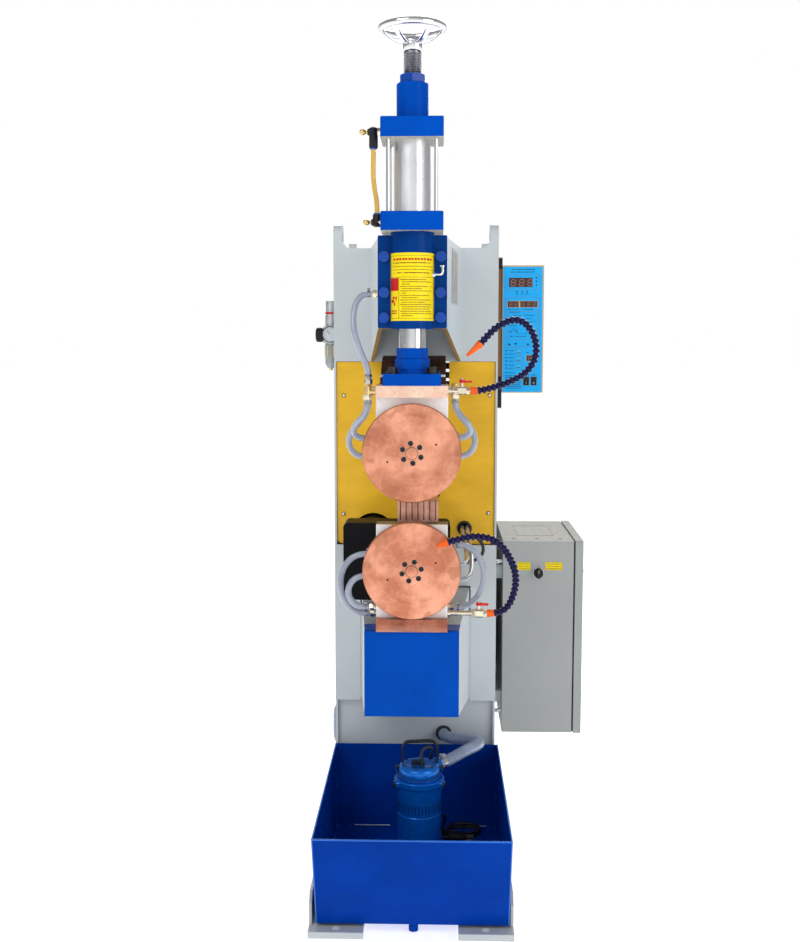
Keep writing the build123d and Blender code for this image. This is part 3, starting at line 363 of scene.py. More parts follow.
def turned_copper(name, centre_z):
    """Faced copper disc: lathe rings that stretch the highlights, heat tint, rim oxide and small pits."""
    colour = (0.92, 0.44, 0.27)
    f = Finish(name, colour, 0.34, 0.8, Anisotropic=0.8)
    around = f.add("ShaderNodeTangent", direction_type="RADIAL", axis="Y")
    f.join(around.outputs[0], f.shader.inputs["Tangent"])
    distance = f.radius(0, centre_z)
    ringed = f.add("ShaderNodeCombineXYZ")
    f.join(distance, ringed.inputs[0])
    rings = f.noise(2600, 2, 0.6, ringed.outputs[0])
    broad = f.noise(160, 2, 0.6, ringed.outputs[0])
    cloud = f.noise(16, 5, 0.62)
    tint = f.mix(f.between(cloud, 0.38, 0.62), (0.56, 0.18, 0.095), (0.93, 0.41, 0.26))
    tint = f.mix(f.between(broad, 0.35, 0.65, 0.0, 0.12), tint, (0.97, 0.62, 0.46))
    oxide = f.maths("MULTIPLY", f.patches(23, 3, 0.57, 0.585, rough=0.45), f.between(distance, 0.058, 0.078))
    tint = f.mix(f.maths("MULTIPLY", oxide, 0.5), tint, (0.50, 0.20, 0.10))
    rim = f.between(distance, 0.0965, 0.0995)
    tint = f.mix(f.maths("MULTIPLY", rim, 0.55), tint, (0.42, 0.17, 0.09))
    pits = f.between(f.spots(120), 0.07, 0.12, 0.8, 0.0)
    sparse = f.patches(30, 2, 0.47, 0.56)
    tint = f.mix(f.maths("MULTIPLY", pits, sparse), tint, (0.16, 0.06, 0.03))
    f.colour(tint)
    f.rough(f.maths("ADD", f.patches(70, 4, 0.3, 0.7, 0.26, 0.40), f.maths("MULTIPLY", oxide, 0.1)))
    f.bump(rings, 0.03, 0.6)
    f.bump(f.noise(40, 4), 0.12, 0.25)
    return f.material


def plate_copper(name, along, dark=(0.88, 0.50, 0.36), light=(1.0, 0.82, 0.66)):
    """Milled copper bar with scratches along one direction, stains and hammered marks."""
    f = Finish(name, light, 0.38, 0.5)
    f.round_edges(0.8)
    lines = f.noise(45, 3, 0.6, f.stretched(*along))
    tint = f.mix(f.patches(34, 5, 0.3, 0.72, rough=0.7), dark, light)
    tint = f.mix(f.between(lines, 0.45, 0.75, 0.0, 0.4), tint, (0.97, 0.66, 0.50))
    stain = f.patches(150, 4, 0.60, 0.70, 0.0, 0.6, rough=0.7)
    tint = f.mix(stain, tint, (0.28, 0.11, 0.06))
    f.colour(f.edge_wear_and_highlight(tint, 0.8, 0.4, (0.98, 0.72, 0.56)))
    f.rough(f.patches(80, 4, 0.3, 0.7, 0.26, 0.52))
    f.bump(lines, 0.06, 0.6)
    f.bump(f.noise(130, 3), 0.12, 0.3)
    return f.material


def leaf_copper():
    """Oxidised copper foil: brown, duller in the folds and brighter on its edges."""
    f = Finish("leaf_copper", (0.26, 0.11, 0.06), 0.48, 0.75)
    tint = f.mix(f.patches(40, 5, 0.3, 0.7, rough=0.7), (0.055, 0.024, 0.015), (0.20, 0.09, 0.05))
    folds = f.between(f.noise(18, 3, 0.6, f.stretched(1, 0.2, 1)), 0.5, 0.8, 0.0, 0.6)
    f.colour(f.mix(folds, tint, (0.34, 0.16, 0.09)))
    f.rough(f.patches(90, 3, 0.3, 0.7, 0.36, 0.62))
    f.bump(f.noise(120, 3, 0.6, f.stretched(0.2, 1, 1)), 0.15, 0.5)
    return f.material


def steel(name, colour, gloss, grain, along=(1, 1, 1), metallic=1.0):
    """Bare, plated or blackened steel with a directional grain, smears and bright edges."""
    f = Finish(name, colour, gloss, metallic)
    f.round_edges(0.6)
    streak = f.noise(grain, 3, 0.6, f.stretched(*along))
    tint = f.mix(f.between(streak, 0.25, 0.75), shade(colour, 0.82), shade(colour, 1.12))
    smear = f.patches(28, 5, 0.52, 0.75, 0.0, 0.45, rough=0.7)
    tint = f.mix(smear, tint, shade(colour, 0.62))
    f.colour(f.edge_wear_and_highlight(tint, 0.7, 0.5, shade(colour, 1.5)))
    f.rough(f.patches(75, 4, 0.28, 0.72, max(0.03, gloss - 0.06), gloss + 0.12))
    f.bump(streak, 0.03, 0.5)
    return f.material


def chrome(name="chrome", colour=(0.83, 0.84, 0.86)):
    """Polished chrome with faint smears."""
    f = Finish(name, colour, 0.09, 1.0)
    f.colour(f.mix(f.patches(30, 4, 0.4, 0.75, 0.0, 0.25), colour, shade(colour, 0.75)))
    f.rough(f.patches(40, 5, 0.35, 0.75, 0.05, 0.20, rough=0.7))
    f.bump(f.noise(160, 2), 0.02, 0.3)
    return f.material


def drawn_aluminium():
    """Honed aluminium tube, with fine lines round it and drawing marks along it."""
    colour = (0.86, 0.87, 0.89)
    f = Finish("drawn_aluminium", colour, 0.30, 1.0)
    along = f.noise(260, 3, 0.6, f.stretched(1, 1, 0.02))
    round_it = f.noise(700, 2, 0.5, f.stretched(0.02, 0.02, 1))
    f.colour(f.mix(f.between(along, 0.3, 0.7), shade(colour, 0.90), shade(colour, 1.04)))
    f.rough(f.patches(20, 4, 0.3, 0.7, 0.24, 0.36))
    f.bump(along, 0.02, 0.5)
    f.bump(round_it, 0.015, 0.4)
    return f.material


def brass(name="brass", colour=(0.80, 0.58, 0.26), gloss=0.24):
    """Turned and nickel-tinged brass with tool marks and tarnish."""
    f = Finish(name, colour, gloss, 1.0)
    f.round_edges(0.5)
    tarnish = f.patches(110, 5, 0.42, 0.72, rough=0.7)
    tint = f.mix(tarnish, shade(colour, 1.12), shade(colour, 0.62))
    f.colour(f.edge_wear_and_highlight(tint, 0.5, 0.5, (0.97, 0.86, 0.60)))
    f.rough(f.patches(160, 3, 0.3, 0.7, gloss - 0.08, gloss + 0.14))
    f.bump(f.noise(900, 2), 0.02, 0.4)
    return f.material


def plastic(name, colour, gloss=0.38, texture=1400.0, depth=0.03):
    """Moulded plastic: fine spark texture, slight flow marks and rubbed high spots."""
    f = Finish(name, colour, gloss, Specular_IOR_Level=0.25)
    f.round_edges(0.7)
    flow = f.patches(60, 4, 0.3, 0.7, rough=0.6)
    tint = f.mix(flow, shade(colour, 0.86), shade(colour, 1.12))
    f.colour(f.edge_wear_and_highlight(tint, 0.7, 0.35, shade(colour, 1.8)))
    f.rough(f.patches(130, 3, 0.3, 0.7, gloss - 0.07, gloss + 0.1))
    f.bump(f.noise(texture, 2), depth, 0.5)
    return f.material


def rubber(name="black_rubber", colour=(0.022, 0.022, 0.024)):
    """Cable jacket: matt black with dust and a fine drawn texture."""
    f = Finish(name, colour, 0.46, Specular_IOR_Level=0.45)
    dust = f.patches(70, 5, 0.5, 0.8, 0.0, 0.25, rough=0.7)
    f.colour(f.mix(dust, colour, (0.16, 0.15, 0.14)))
    f.rough(f.patches(90, 3, 0.3, 0.7, 0.36, 0.60))
    f.bump(f.noise(1200, 2), 0.03, 0.5)
    return f.material


def clear_tube(name, colour, gloss=0.16, see_through=0.35):
    """Translucent flexible tube: milky wall, faint inner band and water marks."""
    f = Finish(name, colour, gloss, Transmission_Weight=see_through, IOR=1.45, Coat_Weight=1.0,
               Coat_Roughness=0.06)
    band = f.patches(26, 4, 0.3, 0.7, rough=0.6)
    tint = f.mix(band, shade(colour, 0.84), shade(colour, 1.12))
    bubbles = f.between(f.spots(260), 0.08, 0.16, 0.4, 0.0)
    f.colour(f.mix(bubbles, tint, shade(colour, 1.45)))
    f.rough(f.patches(60, 3, 0.3, 0.7, gloss - 0.06, gloss + 0.12))
    f.bump(f.noise(90, 3), 0.12, 0.3)
    return f.material


def printed(name, colour, gloss=0.42, glow=0.0):
    """Printed film or label stock: slight mottling, fine emboss and light scratches."""
    f = Finish(name, colour, gloss, Coat_Weight=0.08, Coat_Roughness=0.2, Specular_IOR_Level=0.25,
               Emission_Color=(1, 1, 1, 1), Emission_Strength=glow)
    tint = f.mix(f.patches(45, 4, 0.3, 0.7), shade(colour, 0.93), shade(colour, 1.06))
    scratch = f.between(f.noise(140, 3, 0.6, f.stretched(0.15, 1, 1)), 0.68, 0.78, 0.0, 0.3)
    f.colour(f.mix(scratch, tint, shade(colour, 1.35)))
    f.rough(f.patches(120, 3, 0.3, 0.7, gloss - 0.08, gloss + 0.1))
    f.bump(f.noise(1500, 2), 0.02, 0.4)
    return f.material


# ================= mesh building, sizes in millimetres =================

def basis(axis):
    """Rotation whose Z column is the axis; X stays as level as it can."""
    z = axis.normalized()
    x = Z.cross(z) if abs(z.z) < 0.99 else Vector((1, 0, 0))
    x = (x - z * x.dot(z)).normalized()
    return Matrix((x, z.cross(x), z)).transposed()


def box(bm, low, high, bevel=0.0):
    """Box between two corners, with its edges bevelled."""
    low, high = Vector(low), Vector(high)
    made = bmesh.ops.create_cube(bm, size=1.0)
    middle, size = (low + high) / 2, high - low
    for vertex in made["verts"]:
        vertex.co = Vector((vertex.co.x * size.x, vertex.co.y * size.y, vertex.co.z * size.z)) + middle
    if bevel:
        edges = {edge for vertex in made["verts"] for edge in vertex.link_edges}
        bmesh.ops.bevel(bm, geom=list(edges), offset=bevel, segments=2, affect="EDGES", profile=0.6)


def skin(bm, rows):
    """Joins rings of vertices one after another and closes both ends. Returns the last face."""
    for row, after in zip(rows, rows[1:]):
        for n in range(len(row)):
            m = (n + 1) % len(row)
            bm.faces.new((row[n], row[m], after[m], after[n]))
    bm.faces.new(list(reversed(rows[0])))
    return bm.faces.new(rows[-1])


def spokes(count, start=0.0):
    """(cosine, sine) pairs spread evenly round a circle, the first one at start degrees."""
    turns = [math.radians(start + 360 / count * number) for number in range(count)]
    return [(math.cos(turn), math.sin(turn)) for turn in turns]


def lathe(bm, profile, origin, axis, segments=32, hollow=False):
    """Solid of revolution of (radius, height) pairs. A hollow one joins its last ring to its first."""
    turn, origin = basis(axis), Vector(origin)
    rings = []
    for radius, height in profile:
        if radius < 1e-6:
            rings.append([bm.verts.new(origin + turn @ Vector((0, 0, height)))])
            continue
        rings.append([bm.verts.new(origin + turn @ Vector((radius * cosine, radius * sine, height)))
                      for cosine, sine in spokes(segments)])
    if hollow:
        rings.append(rings[0])
    for lower, upper in zip(rings, rings[1:]):
        for number in range(segments):
            after = (number + 1) % segments
            corners = [lower[number % len(lower)], lower[after % len(lower)],
                       upper[after % len(upper)], upper[number % len(upper)]]
            unique = list(dict.fromkeys(corners))
            if len(unique) > 2:
                bm.faces.new(unique)
    for end in ([] if hollow else [rings[0], rings[-1]]):
        if len(end) > 1:
            bm.faces.new(end)


def rod(bm, radius, length, origin, axis, segments):
    """Plain cylinder standing on a place."""
    lathe(bm, [(0, 0), (radius, 0), (radius, length), (0, length)], origin, axis, segments)


def ring(bm, origin, axis, big, small, segments=40, sides=12):
    """Round ring (torus) of radius big and section radius small."""
    turn, origin = basis(axis), Vector(origin)
    rows = []
    for x, y in spokes(segments):
        out = Vector((x, y, 0))
        rows.append([bm.verts.new(origin + turn @ (out * (big + small * cosine) + Z * small * sine))
                     for cosine, sine in spokes(sides)])
    for number in range(segments):
        row, after = rows[number], rows[(number + 1) % segments]
        for side in range(sides):
            up = (side + 1) % sides
            bm.faces.new((row[side], after[side], after[up], row[up]))


def prism(bm, outline, origin, axis, depth, bevel=0.0):
    """Prism of an outline of (x, y) points in the plane across an axis."""
    turn, origin = basis(axis), Vector(origin)
    base = [bm.verts.new(origin + turn @ Vector((x, y, 0))) for x, y in outline]
    top = [bm.verts.new(origin + turn @ Vector((x, y, depth))) for x, y in outline]
    lid = skin(bm, [base, top])
    if bevel:
        bmesh.ops.bevel(bm, geom=list(lid.edges), offset=bevel, segments=2, affect="EDGES", profile=0.6)


def polygon(sides, across_flats, turn=0.0):
    """Outline of a regular polygon."""
    radius = across_flats / 2 / math.cos(math.pi / sides)
    return [(radius * math.cos(turn + 2 * math.pi * n / sides),
             radius * math.sin(turn + 2 * math.pi * n / sides)) for n in range(sides)]


def rounded(width, height, radius, steps=4):
    """Outline of a rectangle with round corners."""
    points = []
    for number, (sx, sy) in enumerate(((1, 1), (-1, 1), (-1, -1), (1, -1))):
        for step in range(steps + 1):
            angle = math.pi / 2 * (number + step / steps)
            points.append((sx * (width / 2 - radius) + radius * math.cos(angle),
                           sy * (height / 2 - radius) + radius * math.sin(angle)))
    return points


def sweep(bm, points, radius, sides=16, flat=1.0, up=None):
    """Closed tube along points. radius is a number or a function of the share of the way along it."""
    points = [Vector(p) for p in points]
    tangents = []
    for number in range(len(points)):
        before, after = points[max(0, number - 1)], points[min(len(points) - 1, number + 1)]
        tangents.append((after - before).normalized())
    side = (up.cross(tangents[0]) if up else basis(tangents[0]).col[0]).normalized()
    rows = []
    for number, (point, tangent) in enumerate(zip(points, tangents)):
        side = (side - tangent * side.dot(tangent)).normalized()
        other = tangent.cross(side)
        size = radius(number / (len(points) - 1)) if callable(radius) else radius
        rows.append([bm.verts.new(point + side * size * cosine + other * size * flat * sine)
                     for cosine, sine in spokes(sides)])
    skin(bm, rows)


def settle(made, material, body=FRAME_BODY, replaces=()):
    """Gives a new object its material, the body it rides on and the CAD nodes it stands for."""
    made.data.materials.append(material)
    if body:
        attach(made, body)
    if replaces:
        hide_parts(*replaces)
    return made


def piece(name, bm, material, body=FRAME_BODY, sharp=38.0, replaces=()):
    """Turns a bmesh in millimetres into a piece in metres that rides on a body."""
    bmesh.ops.recalc_face_normals(bm, faces=bm.faces)
    bmesh.ops.scale(bm, vec=(MM, MM, MM), verts=bm.verts)
    mesh = bpy.data.meshes.new(name)
    bm.to_mesh(mesh)
    bm.free()
    mesh.shade_smooth()
    mesh.set_sharp_from_angle(angle=math.radians(sharp))
    made = bpy.data.objects.new(name, mesh)
    bpy.context.scene.collection.objects.link(made)
    return settle(made, material, body, replaces)


def spline_object(name, route, diameter):
    """One open NURBS spline through a route in millimetres, with a round section."""
    data = bpy.data.curves.new(name, "CURVE")
    data.dimensions = "3D"
    data.resolution_u = 10
    spline = data.splines.new("NURBS")
    spline.points.add(len(route) - 1)
    for point, place in zip(spline.points, route):
        point.co = (*(value * MM for value in place), 1)
    spline.order_u = 3
    spline.use_endpoint_u = True
    data.bevel_depth = diameter / 2 * MM
    data.bevel_resolution = 6
    data.use_fill_caps = True
    made = bpy.data.objects.new(name, data)
    bpy.context.scene.collection.objects.link(made)
    return made


def line_of(route):
    """Points in millimetres along the smooth line of a route."""
    made = spline_object("line", route, 0.0)
    made.data.resolution_u = 24
    mesh = bpy.data.meshes.new_from_object(made)
    points = [vertex.co / MM for vertex in mesh.vertices]
    bpy.data.objects.remove(made)
    bpy.data.meshes.remove(mesh)
    return [points[0]] + [b for a, b in zip(points, points[1:]) if (b - a).length > 0.01]


def travel(points):
    """Distance along a line at each of its points."""
    total, made = 0.0, [0.0]
    for a, b in zip(points, points[1:]):
        total += (b - a).length
        made.append(total)
    return made


def at(points, distances, distance):
    """Place and direction at a distance along a line."""
    distance = min(max(distance, 0.0), distances[-1])
    number = next(n for n in range(1, len(points)) if distances[n] >= distance - 1e-6)
    run = distances[number] - distances[number - 1]
    share = (distance - distances[number - 1]) / run
    return points[number - 1].lerp(points[number], share), (points[number] - points[number - 1]).normalized()


make_camera()

# ================= hoses and cords: routes as in the CAD source =================

feed_route = [
    (-84, -392, 1317), (-100, -392, 1317), (-114, -397, 1305), (-121, -405, 1283), (-122, -414, 1256),
    (-117, -421, 1228), (-108, -427, 1202), (-98, -431, 1180), (-90, -432, 1161), (-90, -432, 1143),
]
head_routes = [
    [(-90, -468, 1102), (-90, -468, 1085), (-98, -463, 1068), (-112, -452, 1055), (-121, -438, 1040),
     (-117, -425, 1026), (-103, -420, 1020), (-86, -420, 1020)],
    [(-90, -432, 1102), (-90, -432, 1083), (-101, -428, 1063), (-118, -420, 1045), (-131, -408, 1025),
     (-133, -394, 1003), (-123, -383, 985), (-105, -380, 978), (-86, -380, 978)],
    [(88, -408, 1102), (88, -408, 1085), (97, -411, 1069), (111, -415, 1056), (120, -414, 1041),
     (116, -406, 1027), (102, -402, 1020), (86, -402, 1020)],
    [(88, -372, 1102), (88, -372, 1083), (99, -374, 1064), (115, -377, 1047), (128, -377, 1028),
     (131, -373, 1006), (122, -368, 987), (105, -366, 978), (86, -366, 978)],
]
lower_routes = [
    [(-86, -410, 778), (-108, -410, 778), (-129, -411, 768), (-144, -412, 749), (-151, -413, 725),
     (-150, -413, 699), (-141, -412, 675), (-126, -411, 658), (-108, -410, 652), (-89, -410, 652)],
    [(-86, -444, 738), (-104, -444, 738), (-120, -445, 731), (-131, -446, 716), (-132, -446, 697),
     (-122, -445, 680), (-106, -444, 672), (-89, -444, 672)],
    [(86, -420, 800), (106, -420, 800), (126, -421, 790), (141, -422, 772), (149, -423, 748),
     (149, -423, 722), (141, -422, 698), (127, -421, 679), (109, -420, 668), (89, -420, 668)],
]
service_routes = [
    [(112.5, -22, 775), (112.5, -58, 775), (113, -100, 768), (115, -144, 757), (117, -188, 750),
     (118, -232, 746), (117, -274, 744), (115, -308, 744), (111, -334, 744), (101, -352, 744),
     (86, -352, 744)],
    [(123.5, -22, 775), (123.5, -60, 775), (124, -104, 770), (126, -150, 762), (128, -196, 752),
     (129, -242, 741), (128, -286, 731), (126, -322, 723), (120, -354, 718), (106, -376, 716),
     (86, -376, 716)],
]
side_route = [
    (-199, 250, 248), (-208, 250, 248), (-215, 250, 242), (-219, 250, 231), (-220, 251, 214),
    (-220, 252, 188), (-220, 251, 168), (-218, 250, 153), (-213, 250, 144), (-206, 250, 140),
    (-199, 250, 140),
]
motor_cable_route = [
    (118, -22, 764), (118, -36, 764), (124, -50, 763), (137, -60, 761), (151, -64, 753), (160, -64, 741),
    (163, -63, 726), (158, -63, 712), (145, -66, 703), (128, -76, 699), (110, -95, 697), (94, -122, 696),
    (80, -155, 696), (69, -190, 697), (62, -224, 699), (60, -250, 700), (60, -268, 700),
]
upper_coolant_route = [
    (120, -450, 1120), (137, -450, 1120), (158, -452, 1125), (180, -456, 1132), (202, -460, 1141),
    (222, -464, 1152), (238, -468, 1168), (247, -472, 1188), (248, -476, 1210), (242, -480, 1232),
    (230, -484, 1251), (212, -488, 1262), (191, -492, 1260), (172, -496, 1250), (156, -500, 1238),
    (135, -507, 1214),
]
upper_nozzle_end = (109, -512, 1191)
lower_coolant_route = [
    (157, -450, 662), (173, -450, 662), (188, -455, 668), (200, -460, 682), (207, -464, 701),
    (212, -468, 722), (212, -474, 744), (207, -480, 765), (198, -488, 785), (187, -496, 804),
    (172, -503, 820), (153, -508, 829), (131, -512, 832), (109, -514, 831), (72, -514, 820),
]
lower_nozzle_end = (50, -515, 812)
outlet_route = [
    (57, -271, 274), (75, -253, 274), (98, -235, 281), (122, -214, 287), (142, -187, 287), (152, -156, 283),
    (150, -125, 277), (137, -98, 271), (117, -78, 266), (95, -64, 263), (79, -50, 262), (70, -36, 262),
    (70, -24, 262),
]
cord_route = [
    (18, -314, 300), (18, -314, 311), (21, -313, 320), (28, -311, 326), (36, -306, 326), (42, -297, 320),
    (43, -286, 309), (40, -275, 296), (35, -264, 280), (33, -256, 260), (31, -252, 236), (32, -250, 210),
    (38, -249, 184), (49, -242, 160), (60, -229, 141), (67, -210, 128), (71, -187, 119), (73, -163, 108),
    (73, -141, 93), (71, -121, 75), (67, -104, 56), (65, -90, 41), (67, -80, 33), (71, -74, 29.5),
    (76, -70.3, 28.8),
]
air_route = [(-78, -436, 1600), (-78, -436, 1580), (-79, -436, 1552), (-76, -436, 1522), (-71, -436, 1497),
             (-71, -436, 1475)]


# ================= finishes used more than once =================

WHITE_GREY = (0.60, 0.655, 0.68)
CABINET_GREY = (0.38, 0.40, 0.395)
BLUE = (0.0002, 0.072, 0.47)
TANK_BLUE = (0.0002, 0.043, 0.35)

column_paint = powder_coat("column_paint", WHITE_GREY)
# The cabinet's top faces take a dark over colour: painted shade.
cabinet_paint = powder_coat("cabinet_paint", CABINET_GREY, grain=1100.0, over=(0.15, 0.14, 0.09))
blue_enamel = enamel("blue_enamel", BLUE)
# cap_enamel is a slightly lighter copy of BLUE, painted light; the guide's enamel is a darker copy of it,
# painted shade.
cap_enamel = enamel("cap_enamel", shade(BLUE, 1.05), under=(0.52, 0.49, 0.42))
shaded_guide_enamel = enamel("shaded_guide_enamel", (0.0002, 0.042, 0.23), shine=0.04)
arm_enamel = enamel("arm_enamel", shade(BLUE, 0.95))
# Lighter blue for the tank's rolled lip bead: painted highlight.
lip_highlight_enamel = enamel("lip_highlight_enamel", (0.004, 0.14, 0.68), shine=0.4)
# Pale colour of the welds along the tank's back: partly bare metal, partly painted highlight.
weld_highlight_white = powder_coat("weld_highlight_white", (0.55, 0.64, 0.80))
bolt_enamel = enamel("bolt_enamel", shade(BLUE, 0.8), shine=0.25)
tank_enamel = enamel("tank_enamel", TANK_BLUE, gloss=0.24)
black_paint = enamel("black_paint", (0.012, 0.012, 0.014), gloss=0.35, edge_wear_and_highlight=(0.12, 0.12, 0.12))
yellow_laminate = laminate()
bright_chrome = chrome()
# Darkened chrome that stands in for the darker reflections on the handwheel: painted shade.
dark_chrome = chrome("dark_chrome", (0.30, 0.30, 0.31))
zinc = steel("zinc", (0.66, 0.67, 0.68), 0.28, 90)
dark_steel = steel("dark_steel", (0.055, 0.055, 0.06), 0.38, 120, metallic=0.85)
oiled_steel = steel("oiled_steel", (0.27, 0.28, 0.30), 0.24, 160, along=(1, 1, 0.1))
gear_steel = steel("gear_steel", (0.42, 0.42, 0.43), 0.34, 140, along=(1, 0.1, 1))
core_steel = steel("core_steel", (0.10, 0.10, 0.11), 0.55, 300, along=(1, 1, 0.1), metallic=0.6)
honed_aluminium = drawn_aluminium()
cast_grey = powder_coat("cast_grey", (0.90, 0.89, 0.90), grain=500.0, gloss=0.36)
plain_brass = brass()
nickel_brass = brass("nickel_brass", (0.82, 0.74, 0.58), 0.2)
cross_copper = plate_copper("cross_copper", (0.12, 1, 1))
red_copper = plate_copper("red_copper", (0.12, 1, 1), (0.24, 0.06, 0.03), (0.50, 0.165, 0.095))
long_copper = plate_copper("long_copper", (1, 1, 0.1), (0.32, 0.15, 0.105), (0.78, 0.39, 0.29))
foil_copper = leaf_copper()
black_plastic = plastic("black_plastic", (0.016, 0.016, 0.018))
navy_plastic = plastic("navy_plastic", (0.005, 0.004, 0.055), gloss=0.16, depth=0.012)
orange_plastic = plastic("orange_plastic", (0.90, 0.13, 0.01), gloss=0.30)
red_vinyl = plastic("red_vinyl", (0.66, 0.012, 0.01), gloss=0.24)
collet_blue = plastic("collet_blue", (0.02, 0.10, 0.50), gloss=0.3)
black_jacket = rubber()
water_tube = clear_tube("water_tube", (0.40, 0.45, 0.57), gloss=0.12, see_through=0.12)
spiral_tube = clear_tube("spiral_tube", (0.42, 0.52, 0.74), gloss=0.12, see_through=0.3)
amber_line = clear_tube("amber_line", (0.85, 0.52, 0.06), gloss=0.2, see_through=0.15)
bowl_plastic = clear_tube("bowl_plastic", (0.55, 0.58, 0.58), see_through=0.6)
label_yellow = printed("label_yellow", (1.0, 0.78, 0.004))
label_red = printed("label_red", (0.60, 0.01, 0.01))
label_ink = printed("label_ink", (0.20, 0.05, 0.01))
overlay_blue = printed("overlay_blue", (0.006, 0.44, 1.0), gloss=0.36)
overlay_line = printed("overlay_line", (0.16, 0.20, 0.34))
overlay_ink = printed("overlay_ink", (0.002, 0.007, 0.05))
window_brown = printed("window_brown", (0.075, 0.032, 0.028), gloss=0.12)
segment_dim = printed("segment_dim", (0.30, 0.17, 0.14), gloss=0.3)
tan_edge = powder_coat("tan_edge", (0.62, 0.44, 0.20))
overlay_key = printed("overlay_key", (0.03, 0.52, 1.0), gloss=0.3)
button_white = printed("button_white", (0.62, 0.66, 0.70))
bracket_brown = powder_coat("bracket_brown", (0.24, 0.105, 0.025))
# The nose's undersides take a dark brown under colour: painted shade.
nose_paint = powder_coat("nose_paint", WHITE_GREY, under=(0.17, 0.10, 0.05))
clip_steel = steel("clip_steel", (0.34, 0.34, 0.36), 0.25, 120)
arm_paint = powder_coat("arm_paint", WHITE_GREY, over=BLUE, over_until=-0.413)
pump_enamel = steel("pump_enamel", (0.001, 0.17, 0.72), 0.18, 90, metallic=0.5)
slot_shadow = steel("slot_shadow", (0.001, 0.03, 0.16), 0.4, 90, metallic=0.3)
studio_floor = printed("studio_floor", (0.90, 0.90, 0.90), gloss=0.75, glow=0.66)
# Dark brown for the rings round the panel screws: painted shade of the screw holes.
screw_hole_shade = steel("screw_hole_shade", (0.20, 0.13, 0.075), 0.6, 160, metallic=0.4)
plate_metal = printed("plate_metal", (0.36, 0.34, 0.31), gloss=0.3)

CAD_FINISHES = {
    "base_rails": column_paint, "column_frame": column_paint, "rear_cover": column_paint,
    "insulating_panel": yellow_laminate, "lower_front_cover": column_paint, "nose_box": nose_paint,
    "lower_arm": arm_paint, "arm_front_plate": arm_enamel, "coolant_tank": tank_enamel,
    "guide_housing": shaded_guide_enamel, "housing_bolts": bolt_enamel, "cylinder_caps": cap_enamel,
    "cylinder_barrel": honed_aluminium, "tie_rods": bright_chrome, "lock_nut": bolt_enamel,
    "adjusting_screw": oiled_steel, "handwheel": dark_chrome, "piston_rod": bright_chrome,
    "ram_flange": blue_enamel, "flange_screws": dark_steel, "upper_copper_plate": cross_copper,
    "upper_bearing_block": cast_grey, "upper_spindle": dark_steel,
    "upper_wheel": turned_copper("upper_wheel_copper", 996), "lower_copper_plate": red_copper,
    "lower_bearing_block": cast_grey, "lower_spindle": dark_steel,
    "lower_wheel": turned_copper("lower_wheel_copper", 756), "copper_shunt": foil_copper,
    "lower_bus": long_copper, "drive_gear": gear_steel, "pinion": gear_steel, "gear_housing": black_paint,
    "drive_motor": black_paint, "transformer": core_steel, "head_fittings": plain_brass,
    "fixed_fittings": nickel_brass, "upper_valve": nickel_brass, "lower_valve": nickel_brass,
    "upper_valve_lever": red_vinyl, "lower_valve_lever": red_vinyl, "upper_coolant_hose": navy_plastic,
    "lower_coolant_hose": navy_plastic, "cabinet_box": cabinet_paint, "cabinet_door": cabinet_paint,
    "selector_knob": black_plastic, "controller_case": tan_edge, "left_rocker": black_plastic,
    "right_rocker": black_plastic, "air_filter": zinc, "regulator_knob": black_plastic,
    "pump_body": tank_enamel, "pump_cord_hank": black_jacket, "pump_plug": black_plastic,
    "feed_hose": water_tube, "head_hoses": water_tube, "lower_hoses": water_tube,
    "pump_outlet_hose": spiral_tube, "pump_cord": black_jacket, "air_tube": amber_line,
}


def paint_cad():
    """Gives every CAD node its finish."""
    for node, finish in CAD_FINISHES.items():
        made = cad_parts[node]
        made.data.materials.clear()
        made.data.materials.append(finish)


# ================= water hoses and cords =================

def hank_turns():
    """Two turns of the spare pump cord on the tank floor, then the way out to the plug."""
    middle_x, middle_y, end_radius, straight = 120, -62, 28, 10
    floor_line, layer = 28.8, 7.6
    points = [(84, -79, floor_line), (94, -86, floor_line)]
    for step in range(27):
        angle = math.radians(-95 + 24 * step)
        turns = (24 * step) / 360
        across = middle_x + end_radius * math.cos(angle) + straight * max(-1, min(1, 3 * math.cos(angle)))
        first_rise = max(0.0, min(1.0, (turns - 0.70) * 5))
        rise = floor_line + layer * (first_rise + max(0.0, min(1.0, (turns - 1.55) * 5)) * 0.5)
        points.append((across, middle_y + (end_radius - 0.6 * (step % 3)) * math.sin(angle), rise))
    return points + [(76, -78, 40), (67, -94, 40.5), (60, -107, 39), (60, -115, 37.5), (66, -116.3, 36.5)]


def hose_clamp(bm, place, axis, hose):
    """Steel band clip round a hose, with its screw housing."""
    lathe(bm, [(hose / 2, -2.2), (hose / 2 + 1.1, -2.2), (hose / 2 + 1.1, 2.2), (hose / 2, 2.2)], place, axis,
          28, True)
    side = basis(axis) @ Vector((0, hose / 2 + 2.4, 0))
    box(bm, place + side - Vector((3, 3, 3)), place + side + Vector((3, 3, 3)), 0.6)


def hose_barb(bm, place, axis):
    """Hexagon and barbed tail that a hose end is pushed on."""
    lathe(bm, [(0, -2), (4.2, -2), (5.3, 1), (4.4, 1), (5.3, 4), (4.4, 4), (5.0, 7), (0, 7)], place, axis, 20)
    prism(bm, polygon(6, 15), place - axis * 12, axis, 9, 0.8)


